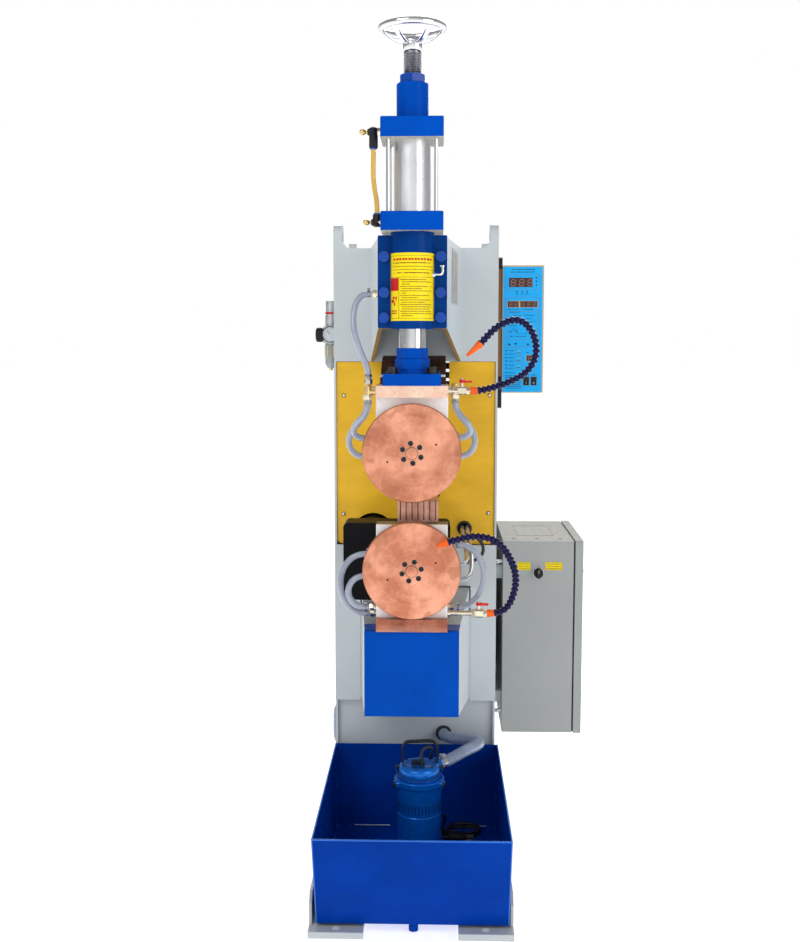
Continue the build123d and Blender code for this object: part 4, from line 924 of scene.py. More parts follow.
def water_hoses():
    """Clear hoses with their barbs and clips, and the motor cable. End runs give the clips' directions."""
    groups = (("head_hoses", HEAD_BODY, head_routes, WATER_HOSE),
              ("lower_hoses", FRAME_BODY, lower_routes, WATER_HOSE),
              ("side_hose", FRAME_BODY, [side_route], WATER_HOSE),
              ("service_hoses", FRAME_BODY, service_routes, SERVICE_HOSE))
    for name, body, routes, hose in groups:
        barbs, ties = bmesh.new(), bmesh.new()
        for number, route in enumerate(routes):
            replaced = (name,) if number == 0 and name in CAD_FINISHES else ()
            settle(spline_object(f"{name}_{number + 1}", route, hose), water_tube, body,
                   replaced)
            for end, inner in ((route[0], route[1]), (route[-1], route[-2])):
                end, inner = Vector(end), Vector(inner)
                axis = (inner - end).normalized()
                if end.y != -22:
                    hose_barb(barbs, end + axis * 2, axis)
                    hose_clamp(ties, end + axis * 7, axis, hose)
        piece(f"{name}_barbs", barbs, nickel_brass, body)
        piece(f"{name}_ties", ties, clip_steel, body)
    settle(spline_object("motor_cable", motor_cable_route, MOTOR_CABLE), black_jacket)


def feed_hose():
    """Hose from the nose to the moving head."""
    line = line_of(feed_route)
    bm = bmesh.new()
    sweep(bm, line[::3] + [line[-1]], WATER_HOSE / 2, 20)
    tube = piece("feed_hose_tube", bm, water_tube, None, replaces=("feed_hose",))
    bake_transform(tube)
    for name, place, axis, body in (("upper", (-84, -392, 1317), -X, FRAME_BODY),
                                    ("lower", (-90, -432, 1143), Z, HEAD_BODY)):
        barbs, ties = bmesh.new(), bmesh.new()
        hose_barb(barbs, Vector(place) + axis * 2, axis)
        hose_clamp(ties, Vector(place) + axis * 7, axis, WATER_HOSE)
        piece(f"feed_hose_{name}_barb", barbs, nickel_brass, body)
        piece(f"feed_hose_{name}_tie", ties, clip_steel, body)


def outlet_hose():
    """Clear pump hose with a moulded spiral, held by a band clip on the pump."""
    settle(spline_object("outlet_tube", outlet_route, PUMP_HOSE), spiral_tube,
           replaces=("pump_outlet_hose",))
    line = line_of(outlet_route)
    distances = travel(line)
    pitch, coil = 9.0, []
    steps = int(distances[-1] / pitch * 14)
    for step in range(steps + 1):
        place, axis = at(line, distances, 3 + (distances[-1] - 6) * step / steps)
        frame_turn = basis(axis)
        angle = 2 * math.pi * step / 14
        coil.append(place + frame_turn @ Vector((math.cos(angle), math.sin(angle),
                                                 0)) * (PUMP_HOSE / 2 + 0.1))
    bm = bmesh.new()
    sweep(bm, coil, 0.8, 6)
    piece("outlet_spiral", bm, spiral_tube)
    clip = bmesh.new()
    place, axis = at(line, distances, 12)
    lathe(clip, [(13, -5), (14.2, -5), (14.2, 5), (13, 5)], place, axis, 36, True)
    box(clip, place + Vector((-7, -6, 13)), place + Vector((7, 6, 20)), 1.2)
    rod(clip, 3.5, 9, place + Vector((0, -14, 16)), Y, 12)
    piece("outlet_clip", clip, zinc)


def pump_lead():
    """Black lead of the pump, its spare length in two turns, and the plug."""
    route = cord_route + hank_turns()
    cord = settle(spline_object("pump_lead", route, PUMP_CORD), black_jacket,
                  replaces=("pump_cord", "pump_cord_hank"))
    plug = mains_plug()
    tie = bmesh.new()
    lathe(tie, [(9.6, -3), (10.6, -3), (10.6, 3), (9.6, 3)], (120, -35, 34), X, 20, True)
    for vertex in tie.verts:
        vertex.co.y = -35 + (vertex.co.y + 35) * 0.62
    tie_piece = piece("lead_tie", tie, black_plastic)
    length = travel(line_of(route))[-1] * MM
    print("pump lead length", round(length, 3))


def mains_plug():
    """Three-pin moulded plug lying on the tank floor."""
    span = Span("pump_plug")
    middle_y, low = -116, span.z0
    bm = bmesh.new()
    lathe(bm, [(0, 0), (4.6, 0), (4.8, 3), (6.2, 3.4), (6.2, 6), (5.2, 6.4), (5.2, 9), (6.8, 9.4), (6.8, 12),
               (5.4, 12.4), (5.4, 20), (0, 20)], (68, middle_y, 36.3), X, 24)
    outline = [(-15, -5), (-15, 5), (-9, 11), (9, 11), (15, 5), (15, -5), (9, -11), (-9, -11)]
    prism(bm, outline, (86, middle_y, low + 11), X, 38, 2.5)
    for step in range(5):
        for side in (-1, 1):
            box(bm, (92 + step * 4.5, middle_y + side * 15 - 0.6, low + 7), (94 + step * 4.5,
                                                                             middle_y + side * 15 + 0.6,
                                                                             low + 15), 0.3)
    plug = piece("pump_plug_body", bm, black_plastic, replaces=("pump_plug",))
    pins = bmesh.new()
    for dy, z in ((-7, 6), (7, 6), (0, 15)):
        box(pins, (123, middle_y + dy - 1, low + z - 2), (142, middle_y + dy + 1, low + z + 2), 0.5)
    made = piece("pump_plug_pins", pins, plain_brass)
    made.parent = plug
    return plug


def air_line():
    """Amber air tube between the two speed controls."""
    settle(spline_object("air_line", air_route, AIR_TUBE), amber_line, replaces=("air_tube",))


def jointed_hose(name, route, nozzle_end, body, node):
    """Ball-jointed coolant hose: navy segments, orange end fitting, collar and nozzle."""
    line = line_of(route)
    distances = travel(line)
    pitch = COOLANT_PITCH
    first, last = 16.0, distances[-1] - 2
    bead = [(0, -5.0), (4.2, -5.0), (4.8, -4.2), (6.6, -2.8), (7.8, -0.8), (7.8, 0.8), (6.8, 2.4), (5.4, 3.4),
            (5.2, 4.4), (5.6, 5.0), (4.8, 5.2), (0, 5.2)]
    beads, ends = bmesh.new(), bmesh.new()
    count = int((last - first) / pitch)
    for number in range(count + 1):
        place, axis = at(line, distances, first + (last - first) * number / count)
        lathe(beads, bead, place, axis, 20)
    place, axis = at(line, distances, 7)
    lathe(ends, [(0, -9), (7.6, -9), (8.2, -8), (8.2, -2), (6.4, -1), (7.4, 2), (7.6, 4), (5.4, 7), (0, 7)],
          place, axis, 24)
    start, end = line[-1], Vector(nozzle_end)
    axis = (end - start).normalized()
    length = (end - start).length
    lathe(ends, [(0, -2), (7.2, -2), (8.0, 0), (8.0, 5), (6.6, 7), (6.2, 12), (3.6, length - 3),
                 (3.4, length), (2.2, length), (2.0, length - 8), (0, length - 8)], start, axis, 24)
    piece(f"{name}_segments", beads, navy_plastic, body, replaces=(node,))
    piece(f"{name}_ends", ends, orange_plastic, body)


# ================= head, ram and cylinder =================

def shunt():
    """Flexible band of copper leaves. Its front clamp bar moves with the head."""
    low = [(-384, 1131.5), (-345, 1131.5), (-322, 1139), (-300, 1150), (-270, 1163), (-240, 1172),
           (-210, 1176), (-180, 1176), (-150, 1170), (-120, 1161), (-95, 1150), (-70, 1140), (-50, 1133.5),
           (-30, 1131), (20, 1130.5)]
    leaves, thick = 10, 0.95
    bm = bmesh.new()
    for leaf in range(leaves):
        rise = 12.6 * leaf / leaves
        half = 69.4 - 1.1 * ((leaf * 7) % 3)
        rows = []
        for number, (y, z) in enumerate(low):
            ripple = 0.35 * math.sin(2.1 * number + 1.7 * leaf) if 1 < number < len(low) - 1 else 0
            corners = [(-half, z), (half, z), (half, z + thick), (-half, z + thick)]
            rows.append([bm.verts.new((x, y, height + rise + ripple)) for x, height in corners])
        skin(bm, rows)
    band = piece("copper_leaves", bm, foil_copper, None, sharp=50, replaces=("copper_shunt",))
    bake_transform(band)
    for name, y, z, body in (("front", -365, 1144.6, HEAD_BODY), ("rear", -4, 1144, FRAME_BODY)):
        bar, bolts = bmesh.new(), bmesh.new()
        box(bar, (-68, y - 12, z), (68, y + 12, z + 6), 1.2)
        for x in (-50, -17, 17, 50):
            hexagon_bolt(bolts, (x, y, z + 6), Z, 13, 8)
        piece(f"shunt_bar_{name}", bar, zinc, body)
        piece(f"shunt_bolts_{name}", bolts, dark_steel, body)


def hexagon_bolt(bm, place, axis, across, height):
    """Bolt head with a washer, standing on a place."""
    place = Vector(place)
    lathe(bm, [(across * 0.85, 0), (across * 0.85, 1.6), (0, 1.6)], place, axis, 24)
    prism(bm, polygon(6, across), place + axis * 1.6, axis, height - 1.6, 0.9)


def dome_screw(bm, place, axis, radius, height):
    """Round-headed screw without its recess."""
    place = Vector(place)
    profile = [(radius, 0)] + [(radius * math.cos(a), height * math.sin(a)) for a in (0.3, 0.6, 0.9,
                                                                                      1.2)] + [(0, height)]
    lathe(bm, profile, place, axis, 24)


def hand_wheel():
    """Dished chrome wheel with five flat spokes, a boss and a round rim."""
    span = Span("handwheel")
    x, y = span.x, span.y
    big, rise = (span.x1 - span.x0) / 2 - 7, span.z1 - 7
    bm = bmesh.new()
    low = span.z0
    lathe(bm, [(10.2, low), (15, low), (18, low + 2), (20, low + 5), (20, low + 20), (18, low + 24),
               (10.2, low + 24)], (x, y, 0), Z, 48, True)
    ring(bm, (x, y, rise), Z, big, 7, 96, 20)
    for cosine, sine in spokes(5, 90):
        out = Vector((cosine, sine, 0))
        points = []
        for t in (0, 0.15, 0.3, 0.45, 0.6, 0.75, 0.9, 1.0):
            height = low + 14 + (rise - low - 14) * (0.25 * t + 0.75 * t * t)
            points.append(Vector((x, y, height)) + out * (16 + (big - 16) * t))
        sweep(bm, points, lambda t: 10.5 - 4.5 * math.sin(math.pi * min(1, 0.15 + t)), 20, 0.30, Z)
    piece("handwheel_casting", bm, bright_chrome, "hand_wheel", replaces=("handwheel",))
    marks = bmesh.new()
    for cosine, sine in spokes(4, 45):
        place = Vector((x + 15 * cosine, y + 15 * sine, low + 22.5))
        lathe(marks, [(2.6, 0), (2.6, 2), (1.3, 2), (1.3, 1), (0, 1)], place, Z, 16)
    piece("handwheel_screws", marks, dark_steel, "hand_wheel")


def air_controls():
    """Speed-control elbows on the cylinder, with needle screws and push-in collets."""
    bodies, needles, collets, bases = (bmesh.new() for _ in range(4))
    for x, z, low, high, mouth in ((-78, 1634, 1600, 1646, -1), (-71, 1457, 1449, 1475, 1)):
        axis = Z * mouth
        length = (z - low) if mouth < 0 else (high - z)
        start = Vector((x, RAM_Y, z))
        lathe(bodies, [(0, -9), (6, -9), (8.6, -7), (8.9, length - 4), (8, length - 2.5), (0, length - 2.5)],
              start, axis, 28)
        lathe(bodies, [(0, 0), (7, 0), (7, 12), (5.6, 14), (0, 14)], (x + 2, RAM_Y, z), -X, 24)
        prism(bases, polygon(6, 15), (-62, RAM_Y, z), -X, 8, 0.8)
        lathe(needles, [(0, 0), (3.4, 0), (3.4, 3), (5.0, 4.5), (6.0, 7.5), (6.0, 11), (5.0, 14), (3.0, 15.6),
                        (0, 16)], (x - 12, RAM_Y, z), -X, 24)
        lathe(collets, [(4.2, 0), (7.2, 0), (7.4, 1.4), (6.4, 2.6), (4.2, 2.6)],
              start + axis * (length - 2.6), axis, 28, True)
    piece("air_elbows", bodies, black_plastic)
    piece("air_needles", needles, plain_brass, replaces=("fixed_fittings",))
    piece("air_collets", collets, collet_blue)
    piece("air_bases", bases, nickel_brass)


def fixed_necks():
    """Necks of the hose fittings, the nose port, the side ports and the cable entries."""
    bm = bmesh.new()
    for side, y, z in ((-1, -410, 778), (-1, -444, 738), (1, -420, 800), (1, -352, 744), (1, -376, 716),
                       (-1, -410, 652), (-1, -444, 672), (1, -420, 668)):
        lathe(bm, [(0, -1), (8.5, -1), (8.5, 1.5), (6.5, 2.5), (6.5, 7), (0, 7)], (side * HEAD_HALF, y, z),
              X * side, 24)
    lathe(bm, [(0, -1), (8.5, -1), (8.5, 1.5), (6.5, 2.5), (6.5, 7), (0, 7)], (-73.5, -392, 1317), -X, 24)
    for z in (248, 140):
        lathe(bm, [(0, 0), (11, 0), (11, 2), (9, 3), (7, 5), (0, 5)], (-195, 250, z), -X, 24)
    piece("hose_necks", bm, nickel_brass)
    rubber_parts = bmesh.new()
    lathe(rubber_parts, [(12.3, 0), (17.5, 0), (18, 1.5), (16.5, 4), (13.2, 4.5), (12.3, 3)], (118, -20, 772),
          -Y, 40, True)
    lathe(rubber_parts, [(4.2, 0), (10, 0), (10, 5), (8, 6), (8, 11), (5, 14), (4.2, 14)], (60, -268, 700), Y,
          28, True)
    lathe(rubber_parts, [(13.2, 0), (19, 0), (19.5, 2), (17, 5), (13.2, 5)], (70, -20, 262), -Y, 40, True)
    piece("grommets", rubber_parts, black_jacket)


def wrap(bm, radius, x0, x1, z0, z1, thick=0.25):
    """Thin patch on the guide barrel, between two places across the front view and two heights."""
    a0, a1 = math.asin(max(-1, x0 / GUIDE_RADIUS)), math.asin(min(1, x1 / GUIDE_RADIUS))
    steps = max(1, int((a1 - a0) / 0.12))
    rows = []
    for number in range(steps + 1):
        angle = a0 + (a1 - a0) * number / steps
        out = Vector((math.sin(angle), -math.cos(angle), 0))
        row = []
        for r, z in ((radius, z0), (radius, z1), (radius + thick, z1), (radius + thick, z0)):
            row.append(bm.verts.new(Vector((0, RAM_Y, z)) + out * r))
        rows.append(row)
    skin(bm, rows)


def dashes(left, right, longest, gap, seed):
    """Lengths that break a printed line up into word-like dashes."""
    made, x, step = [], left, seed
    while x < right:
        step = (step * 73 + 41) % 101
        width = min(right - x, longest * (0.3 + 0.7 * step / 100))
        made.append((x, x + width))
        x += width + gap
    return made


def guide_label():
    """Yellow notice wrapped on the guide barrel: rules, a red block, a generic sign and rows of dashes."""
    sheet, ink, red = bmesh.new(), bmesh.new(), bmesh.new()
    wrap(sheet, 44.05, -43.2, 43.2, 1260, 1394)
    level = 44.3
    for z in (1388, 1345.6, 1264.5):
        wrap(ink, level, -42.2, 42.2, z, z + 0.6, 0.12)
    for x in (-42.6, -26.4, 41.8):
        low_end = 1264.5 if x != -26.4 else 1265
        wrap(ink, level, x, x + 0.7, low_end, 1388 if x != -26.4 else 1345.6, 0.12)
    for number, x in enumerate(range(-37, 37, 6)):
        wrap(red, level, x, x + 4.0, 1379, 1383.4, 0.12)
        if number % 2:
            wrap(red, level, x + 4.4, x + 5.2, 1379.6, 1382.6, 0.12)
    rows = [(1373, 2.0, -38, 36, 7), (1366.3, 1.3, -41, 40.5, 5), (1360, 1.3, -41, 40.5, 6),
            (1353.5, 2.0, -36, 34, 8)]
    rows += [(1340.3 - 4.45 * n, 1.5, -23 if n in (0, 3, 5, 7, 9, 11, 14) else -20,
              (28, 37, -5, 38, 19, 37, -12, 33, 11, 35, 26, 38, 37, 34, 37, 38, 2)[n], 6) for n in range(17)]
    for number, (z, tall, left, right, longest) in enumerate(rows):
        for x0, x1 in dashes(left, right, longest, 1.0, 7 * number + 3):
            wrap(ink, level, x0, x1, z, z + tall, 0.12)
    wrap(red, level, -42, -27, 1319.5, 1344.6, 0.12)
    for z, left in ((1278.5, -41), (1274, -41)):
        wrap(red, level, left, -30, z, z + 2.2, 0.12)
    for left, right, low, high in ((-38.5, -34.5, 1303, 1308), (-41, -36, 1296, 1302), (-37, -31, 1299, 1301),
                                   (-33, -30, 1302, 1308), (-36, -33.5, 1290, 1297)):
        wrap(red, level, left, right, low, high, 0.12)
    piece("guide_notice", sheet, label_yellow)
    piece("guide_notice_ink", ink, label_ink)
    piece("guide_notice_red", red, label_red)


def oil_elbow():
    """Small chrome oiler elbow beside the guide barrel."""
    bm = bmesh.new()
    corner = [(38, -454, 1352), (46, -455, 1352), (54, -456, 1352), (58.5, -456, 1352.6), (60.4, -456, 1355),
              (61, -456, 1359), (61, -456, 1366), (61, -456, 1369)]
    sweep(bm, corner, 2.4, 16)
    prism(bm, polygon(6, 8), (41, -454.4, 1352), X, 5, 0.5)
    lathe(bm, [(0, 0), (3.6, 0), (3.6, 3), (2.2, 4), (0, 4)], (61, -456, 1367), Z, 20)
    rod(bm, 2.0, 5, (61, -456, 1369), -X, 16)
    piece("guide_oiler", bm, bright_chrome)


def nose_plate():
    """Blank rating plate with its rivets on the right side of the nose."""
    bm, rivets = bmesh.new(), bmesh.new()
    slope = (107.0 - 70.0) / 400.0
    along = Vector((slope, 1, 0)).normalized()
    out = Vector((1, -slope, 0)).normalized()
    start = Vector((70 + slope * 120, -304, 0))
    low, high, length = 1302, 1416, 150
    corners = [start + Z * low, start + along * length + Z * low, start + along * length + Z * high,
               start + Z * high]
    rows = [[bm.verts.new(c + out * depth) for c in corners] for depth in (0.2, 1.4)]
    skin(bm, rows)
    for a in (6, length - 6):
        for z in (low + 6, high - 6):
            dome_screw(rivets, start + along * a + out * 1.4 + Z * z, out, 2.6, 1.4)
    piece("nose_rating_plate", bm, plate_metal, sharp=30)
    piece("nose_plate_rivets", rivets, zinc)


def panel_screws():
    """Round-headed screws that hold the insulating panel, each in a dark ring that is painted shade of its
    hole.
    """
    span = Span("insulating_panel")
    bm, rim = bmesh.new(), bmesh.new()
    for x, z in ((-172, 1092), (176, 1093), (-174, 806), (175, 809)):
        dome_screw(bm, (x, span.y0, z), -Y, 4.0, 2.6)
        lathe(rim, [(3.6, 0), (5.2, 0), (5.2, 0.5), (3.6, 0.5)], (x, span.y0, z), -Y, 24, True)
    piece("panel_screws", bm, nickel_brass)
    piece("panel_screw_rims", rim, screw_hole_shade)


# ================= controller =================

def flat(bm, x0, x1, z0, z1, y, thick=0.25):
    """Thin printed patch facing the operator, its back at y."""
    box(bm, (x0, y - thick, z0), (x1, y, z1))


def outline(bm, x0, x1, z0, z1, y, line=0.8):
    """Printed rectangle drawn as four lines."""
    flat(bm, x0, x1, z0, z0 + line, y)
    flat(bm, x0, x1, z1 - line, z1, y)
    flat(bm, x0, x0 + line, z0, z1, y)
    flat(bm, x1 - line, x1, z0, z1, y)


def digit(bm, x, z, width, height, y):
    """Unlit seven-segment figure with its lower left corner at a place."""
    t, lean = width * 0.16, width * 0.12
    middle = z + height / 2
    for level, shift in ((z, 0), (middle - t / 2, lean / 2), (z + height - t, lean)):
        flat(bm, x + t + shift, x + width - t + shift, level, level + t, y)
    for low, high, shift in ((z + t, middle - t / 2, lean / 4), (middle + t / 2, z + height - t,
                                                                 lean * 0.75)):
        flat(bm, x + shift, x + t + shift, low, high, y)
        flat(bm, x + width - t + shift, x + width + shift, low, high, y)


# Places on the control panel: distances from the case's left edge, and downwards from its top edge.
PANEL_HEADINGS = [(8.95, 20.46, 75.43), (14.92, 17.9, 76.71)]
PANEL_FRAMES = [(7.16, 88.98, 22.37, 57.18), (7.16, 88.22, 74.58, 192.66), (15.34, 84.89, 108.14, 176.51)]
PANEL_WIDE_WINDOW = (14.83, 71.08, 29.33, 51.21)
PANEL_WINDOWS = [(12.27, 38.35, 84.52, 98.69), (42.45, 82.59, 84.52, 98.69), (58.3, 82.34, 212.8, 225.98)]
PANEL_WINDOW_FRAMES = [(11.0, 83.61, 83.53, 99.44), (57.28, 83.36, 212.06, 226.72)]
# Seven-segment groups: left, foot, width, height, step, count and how far they stand before the windows.
PANEL_FIGURES = [(18.41, 49.22, 11.96, 16.56, 19.94, 3, 0), (15.85, 96.95, 7.36, 10.12, 11.25, 2, 0.25),
                 (45.51, 96.95, 7.36, 10.12, 12.78, 3, 0.25), (61.88, 224.49, 6.9, 9.66, 10.74, 2, 0.25)]
PANEL_LAMPS = [(80.03, 29.83), (80.03, 37.79), (80.03, 46.24), (34.52, 62.15), (46.54, 62.15), (58.3, 62.15),
               (10.23, 201.37), (10.23, 209.57), (10.23, 218.27), (10.23, 226.23), (10.23, 235.42),
               (10.23, 243.13), (77.22, 239.4)]
PANEL_CAPTIONS = [(66.62, 31.96, 39.63), (66.62, 43.47, 50.63), (66.62, 55.23, 62.9), (102.92, 12.27, 38.87),
                  (102.92, 48.07, 72.87), (109.38, 17.39, 40.91), (116.84, 26.85, 43.47),
                  (116.84, 51.14, 76.2), (124.8, 56.25, 67.76), (131.76, 17.9, 34.52), (141.7, 17.9, 34.52),
                  (155.38, 15.34, 22.5), (155.38, 28.64, 38.35), (166.56, 19.18, 26.85),
                  (166.56, 30.68, 56.25), (253.57, 7.16, 31.96), (258.54, 56.25, 66.99),
                  (258.54, 72.87, 84.38), (205.09, 57.53, 65.2)]
PANEL_LAMP_CAPTIONS = [200.87, 209.07, 217.77, 225.73, 234.93, 242.63]
PANEL_CURVE = [(19.18, 161.59), (24.29, 150.4), (31.96, 150.4), (37.08, 161.59), (56.25, 161.59),
               (67.76, 131.76), (80.55, 131.76)]
PANEL_KEYS = [197.64, 215.04, 232.44]
# Arrowheads: distance from the left edge, then the heights of foot and tip.
PANEL_ARROWS = [(17.13, 0, 5), (31.96, 5, 0), (61.37, 0, 5)]


def controller_face():
    """Blue membrane overlay with unlit displays, lamps, keys and dash captions."""
    span = Span("controller_case")
    left, top, y = span.x0, span.z1, span.y0
    face, lines, ink, window, segments, dots, keys, glow = (bmesh.new() for _ in range(8))
    rockers = [(Span(node).x, Span(node).z) for node in ("left_rocker", "right_rocker")]
    well_top, well_low = rockers[0][1] + 10.5, rockers[0][1] - 10.5
    well_left, well_right = rockers[0][0] - 7.6, rockers[1][0] + 7.6
    between = (rockers[0][0] + rockers[1][0]) / 2
    x0, x1, z0, z1 = left + 1.5, span.x1 - 3.0, span.z0 + 2.0, top - 3.5
    flat(face, x0, x1, well_top, z1, y, 0.5)
    flat(face, x0, x1, z0, well_low, y, 0.5)
    flat(face, x0, well_left, well_low, well_top, y, 0.5)
    flat(face, well_right, x1, well_low, well_top, y, 0.5)
    flat(face, between - 1.4, between + 1.4, well_low, well_top, y, 0.5)
    on, over = y - 0.5, y - 0.75

    def area(bm, ax, bx, high, low, level):
        """Patch between two distances from the left edge and two below the top edge."""
        flat(bm, left + ax, left + bx, top - low, top - high, level)

    def caption(drop, ax, bx, longest, gap, tall, seed):
        """Row of dashes that stands for a line of words."""
        for a, b in dashes(ax, bx, longest, gap, seed):
            area(ink, a, b, drop, drop + tall, on)

    for number, (drop, ax, bx) in enumerate(PANEL_HEADINGS):
        caption(drop, ax, bx, 6.648, 1.534, 1.74, 11 + number)
    for ax, bx, high, low in PANEL_FRAMES:
        outline(lines, left + ax, left + bx, top - low, top - high, on)
    area(window, *PANEL_WIDE_WINDOW, on)
    for place in PANEL_WINDOW_FRAMES:
        area(glow, *place, on)
    for place in PANEL_WINDOWS:
        area(window, *place, over)
    for ax, drop, wide, tall, step, count, lift in PANEL_FIGURES:
        for number in range(count):
            digit(segments, left + ax + step * number, top - drop, wide, tall, over - lift)
    for ax, drop in PANEL_LAMPS:
        place = (left + ax, on, top - drop)
        lathe(dots, [(0, 0), (1.7, 0), (1.53, 0.5), (0.85, 0.9), (0, 1.0)], place, -Y, 14)
    captions = PANEL_CAPTIONS + [(drop, 16.62, 28.13) for drop in PANEL_LAMP_CAPTIONS]
    captions += [(260.53 + 4.2262 * n, 8.18, 48.58 - 2.81 * (n % 3)) for n in range(8)]
    for number, (drop, ax, bx) in enumerate(captions):
        caption(drop, ax, bx, 5.625, 1.2785, 1.49, 5 * number + 2)
    for (ax, high), (bx, low) in zip(PANEL_CURVE, PANEL_CURVE[1:]):
        sweep(ink, [(left + ax, on - 0.1, top - high), (left + bx, on - 0.1, top - low)], 0.35, 6)
    for drop in PANEL_KEYS:
        x_a, x_b, z_a, z_b = left + 31.96, left + 46.54, top - drop - 12.43, top - drop
        outline(lines, x_a, x_b, z_a, z_b, on, 0.7)
        flat(keys, x_a + 1.4, x_b - 1.4, z_a + 1.4, z_b - 1.4, on, 0.4)
        flat(ink, x_a + 3, x_b - 3, z_a + 2.6, z_a + 4, on - 0.4)
    for ax, foot, tip in PANEL_ARROWS:
        prism(ink, [(-3.4, foot), (3.4, foot), (0, tip)], (left + ax, on, top - 188.44), -Y, 0.4)
    for name, bm, material, slot in (("overlay", face, overlay_blue, "controller_blue"),
                                     ("lines", lines, overlay_line, "controller_blue"),
                                     ("captions", ink, overlay_ink, "controller_blue"),
                                     ("windows", window, window_brown, "black_plastic"),
                                     ("window_frames", glow, tan_edge, "black_plastic"),
                                     ("segments", segments, segment_dim, "black_plastic"),
                                     ("lamps", dots, overlay_ink, "controller_blue"),
                                     ("keys", keys, overlay_key, "controller_blue")):
        piece(f"controller_{name}", bm, material, sharp=30)
    for node, sign in (("left_rocker", "I"), ("right_rocker", "O")):
        rocker = Span(node)
        marks = bmesh.new()
        middle = rocker.z - 4.5
        if sign == "I":
            flat(marks, rocker.x - 0.5, rocker.x + 0.5, middle - 2, middle + 2, rocker.y0 + 1.5, 0.4)
        else:
            ring(marks, (rocker.x, rocker.y0 + 1.3, middle), Y, 1.9, 0.4, 20, 6)
        piece(f"{node}_mark", marks, button_white,
              "rocker_one" if node == "left_rocker" else "rocker_two")


def controller_bracket():
    """Coloured covers on the bracket bar between the column and the controller."""
    left, right, front, back = 195.3, 205.8, 5.2, 36.4
    brown, ends, lip = bmesh.new(), bmesh.new(), bmesh.new()
    box(brown, (left, front, 1137), (right, 6, 1392), 0.2)
    box(ends, (left, front - 0.4, 1062), (right, 6, 1137), 0.2)
    box(ends, (left, front - 0.4, 1392), (right, 6, 1417), 0.2)
    box(lip, (left, front - 1, 1417.2), (right, back, 1419.2), 0.3)
    piece("bracket_strip", brown, bracket_brown)
    piece("bracket_ends", ends, black_plastic)
    piece("bracket_lip", lip, tan_edge)


# ================= cabinet and air unit =================

def cabinet_details():
    """Labels, selector parts, plugs, a black strip of painted shadow in the gap beside the column, gasket,
    locks, screws and louvres of the cabinet.
    """
    span = Span("cabinet_box")
    front, top, gap_x = span.y0, 714.0, 401.0
    yellow, ink = bmesh.new(), bmesh.new()
    for x0, x1 in ((258, 291), (329, 372)):
        flat(yellow, x0, x1, 640, 661, front, 0.4)
        outline(ink, x0 + 1, x1 - 1, 641, 660, front - 0.4, 0.5)
        for row in (645, 650.5, 656):
            for a, b in dashes(x0 + 4, x1 - 4, 7, 1.4, int(row)):
                flat(ink, a, b, row - 0.8, row + 0.8, front - 0.4)
    piece("cabinet_labels", yellow, label_yellow)
    piece("cabinet_label_ink", ink, label_ink)
    bezel = bmesh.new()
    lathe(bezel, [(11.4, 0), (14.6, 0), (14.6, 1.4), (13.4, 2.8), (12.8, 2.8), (12.8, 0.6), (11.4, 0.6)],
          (SELECTOR_X, front, SELECTOR_Z), -Y, 48, True)
    piece("selector_bezel", bezel, bright_chrome)
    knob = Span("selector_knob")
    pointer = bmesh.new()
    box(pointer, (310.3, knob.y0 - 0.5, 636), (311.7, knob.y0 + 0.3, 643), 0.15)
    piece("selector_pointer", pointer, button_white, "selector")
    holes = bmesh.new()
    for x in (250, 310, 370):
        rod(holes, 5, 0.4, (x, 180, top), Z, 24)
    for x0, x1, y0, y1 in ((262, 358, 230, 231), (262, 358, 399, 400), (262, 263, 231, 399),
                           (357, 358, 231, 399)):
        box(holes, (x0, y0, top - 0.2), (x1, y1, top + 0.3))
    piece("cabinet_plugs", holes, black_plastic)
    # Black strip behind the gap between the column and the cabinet: painted shadow.
    strip = bmesh.new()
    box(strip, (196, 474, 216), (220, 478, 712), 0.6)
    piece("cabinet_gap_shadow", strip, black_jacket)
    gasket = bmesh.new()
    for low, high in (((gap_x, 140, 216), (404.8, 143, 712)), ((gap_x, 479, 216), (404.8, 482, 712)),
                      ((gap_x, 143, 216), (404.8, 479, 219)), ((gap_x, 143, 709), (404.8, 479, 712))):
        box(gasket, low, high, 0.6)
    piece("door_gasket", gasket, black_jacket)
    locks, slots = bmesh.new(), bmesh.new()
    for z in (300, 628):
        lathe(locks, [(0, 0), (12, 0), (12, 2), (10, 4.5), (0, 4.5)], (425, 170, z), X, 32)
        box(slots, (429.2, 164, z - 1.2), (429.9, 176, z + 1.2), 0.1)
    piece("door_locks", locks, bright_chrome, "door")
    piece("door_lock_slots", slots, black_plastic, "door")
    screws = bmesh.new()
    for z in (660, 268):
        dome_screw(screws, (208, 140, z), -Y, 4.5, 3)
        rod(screws, 4, 24, (196, 150, z), X, 16)
    piece("cabinet_mount_screws", screws, zinc)
    hinge = bmesh.new()
    for z in (304, 624):
        for drop in (-16, 16):
            dome_screw(hinge, (392, 488, z + drop), Y, 3.4, 1.8)
    piece("hinge_screws", hinge, zinc)
    vents = bmesh.new()
    for row in range(7):
        box(vents, (270, 485.8, 560 + row * 14), (350, 487.4, 564 + row * 14), 0.8)
    piece("cabinet_louvres", vents, cabinet_paint)


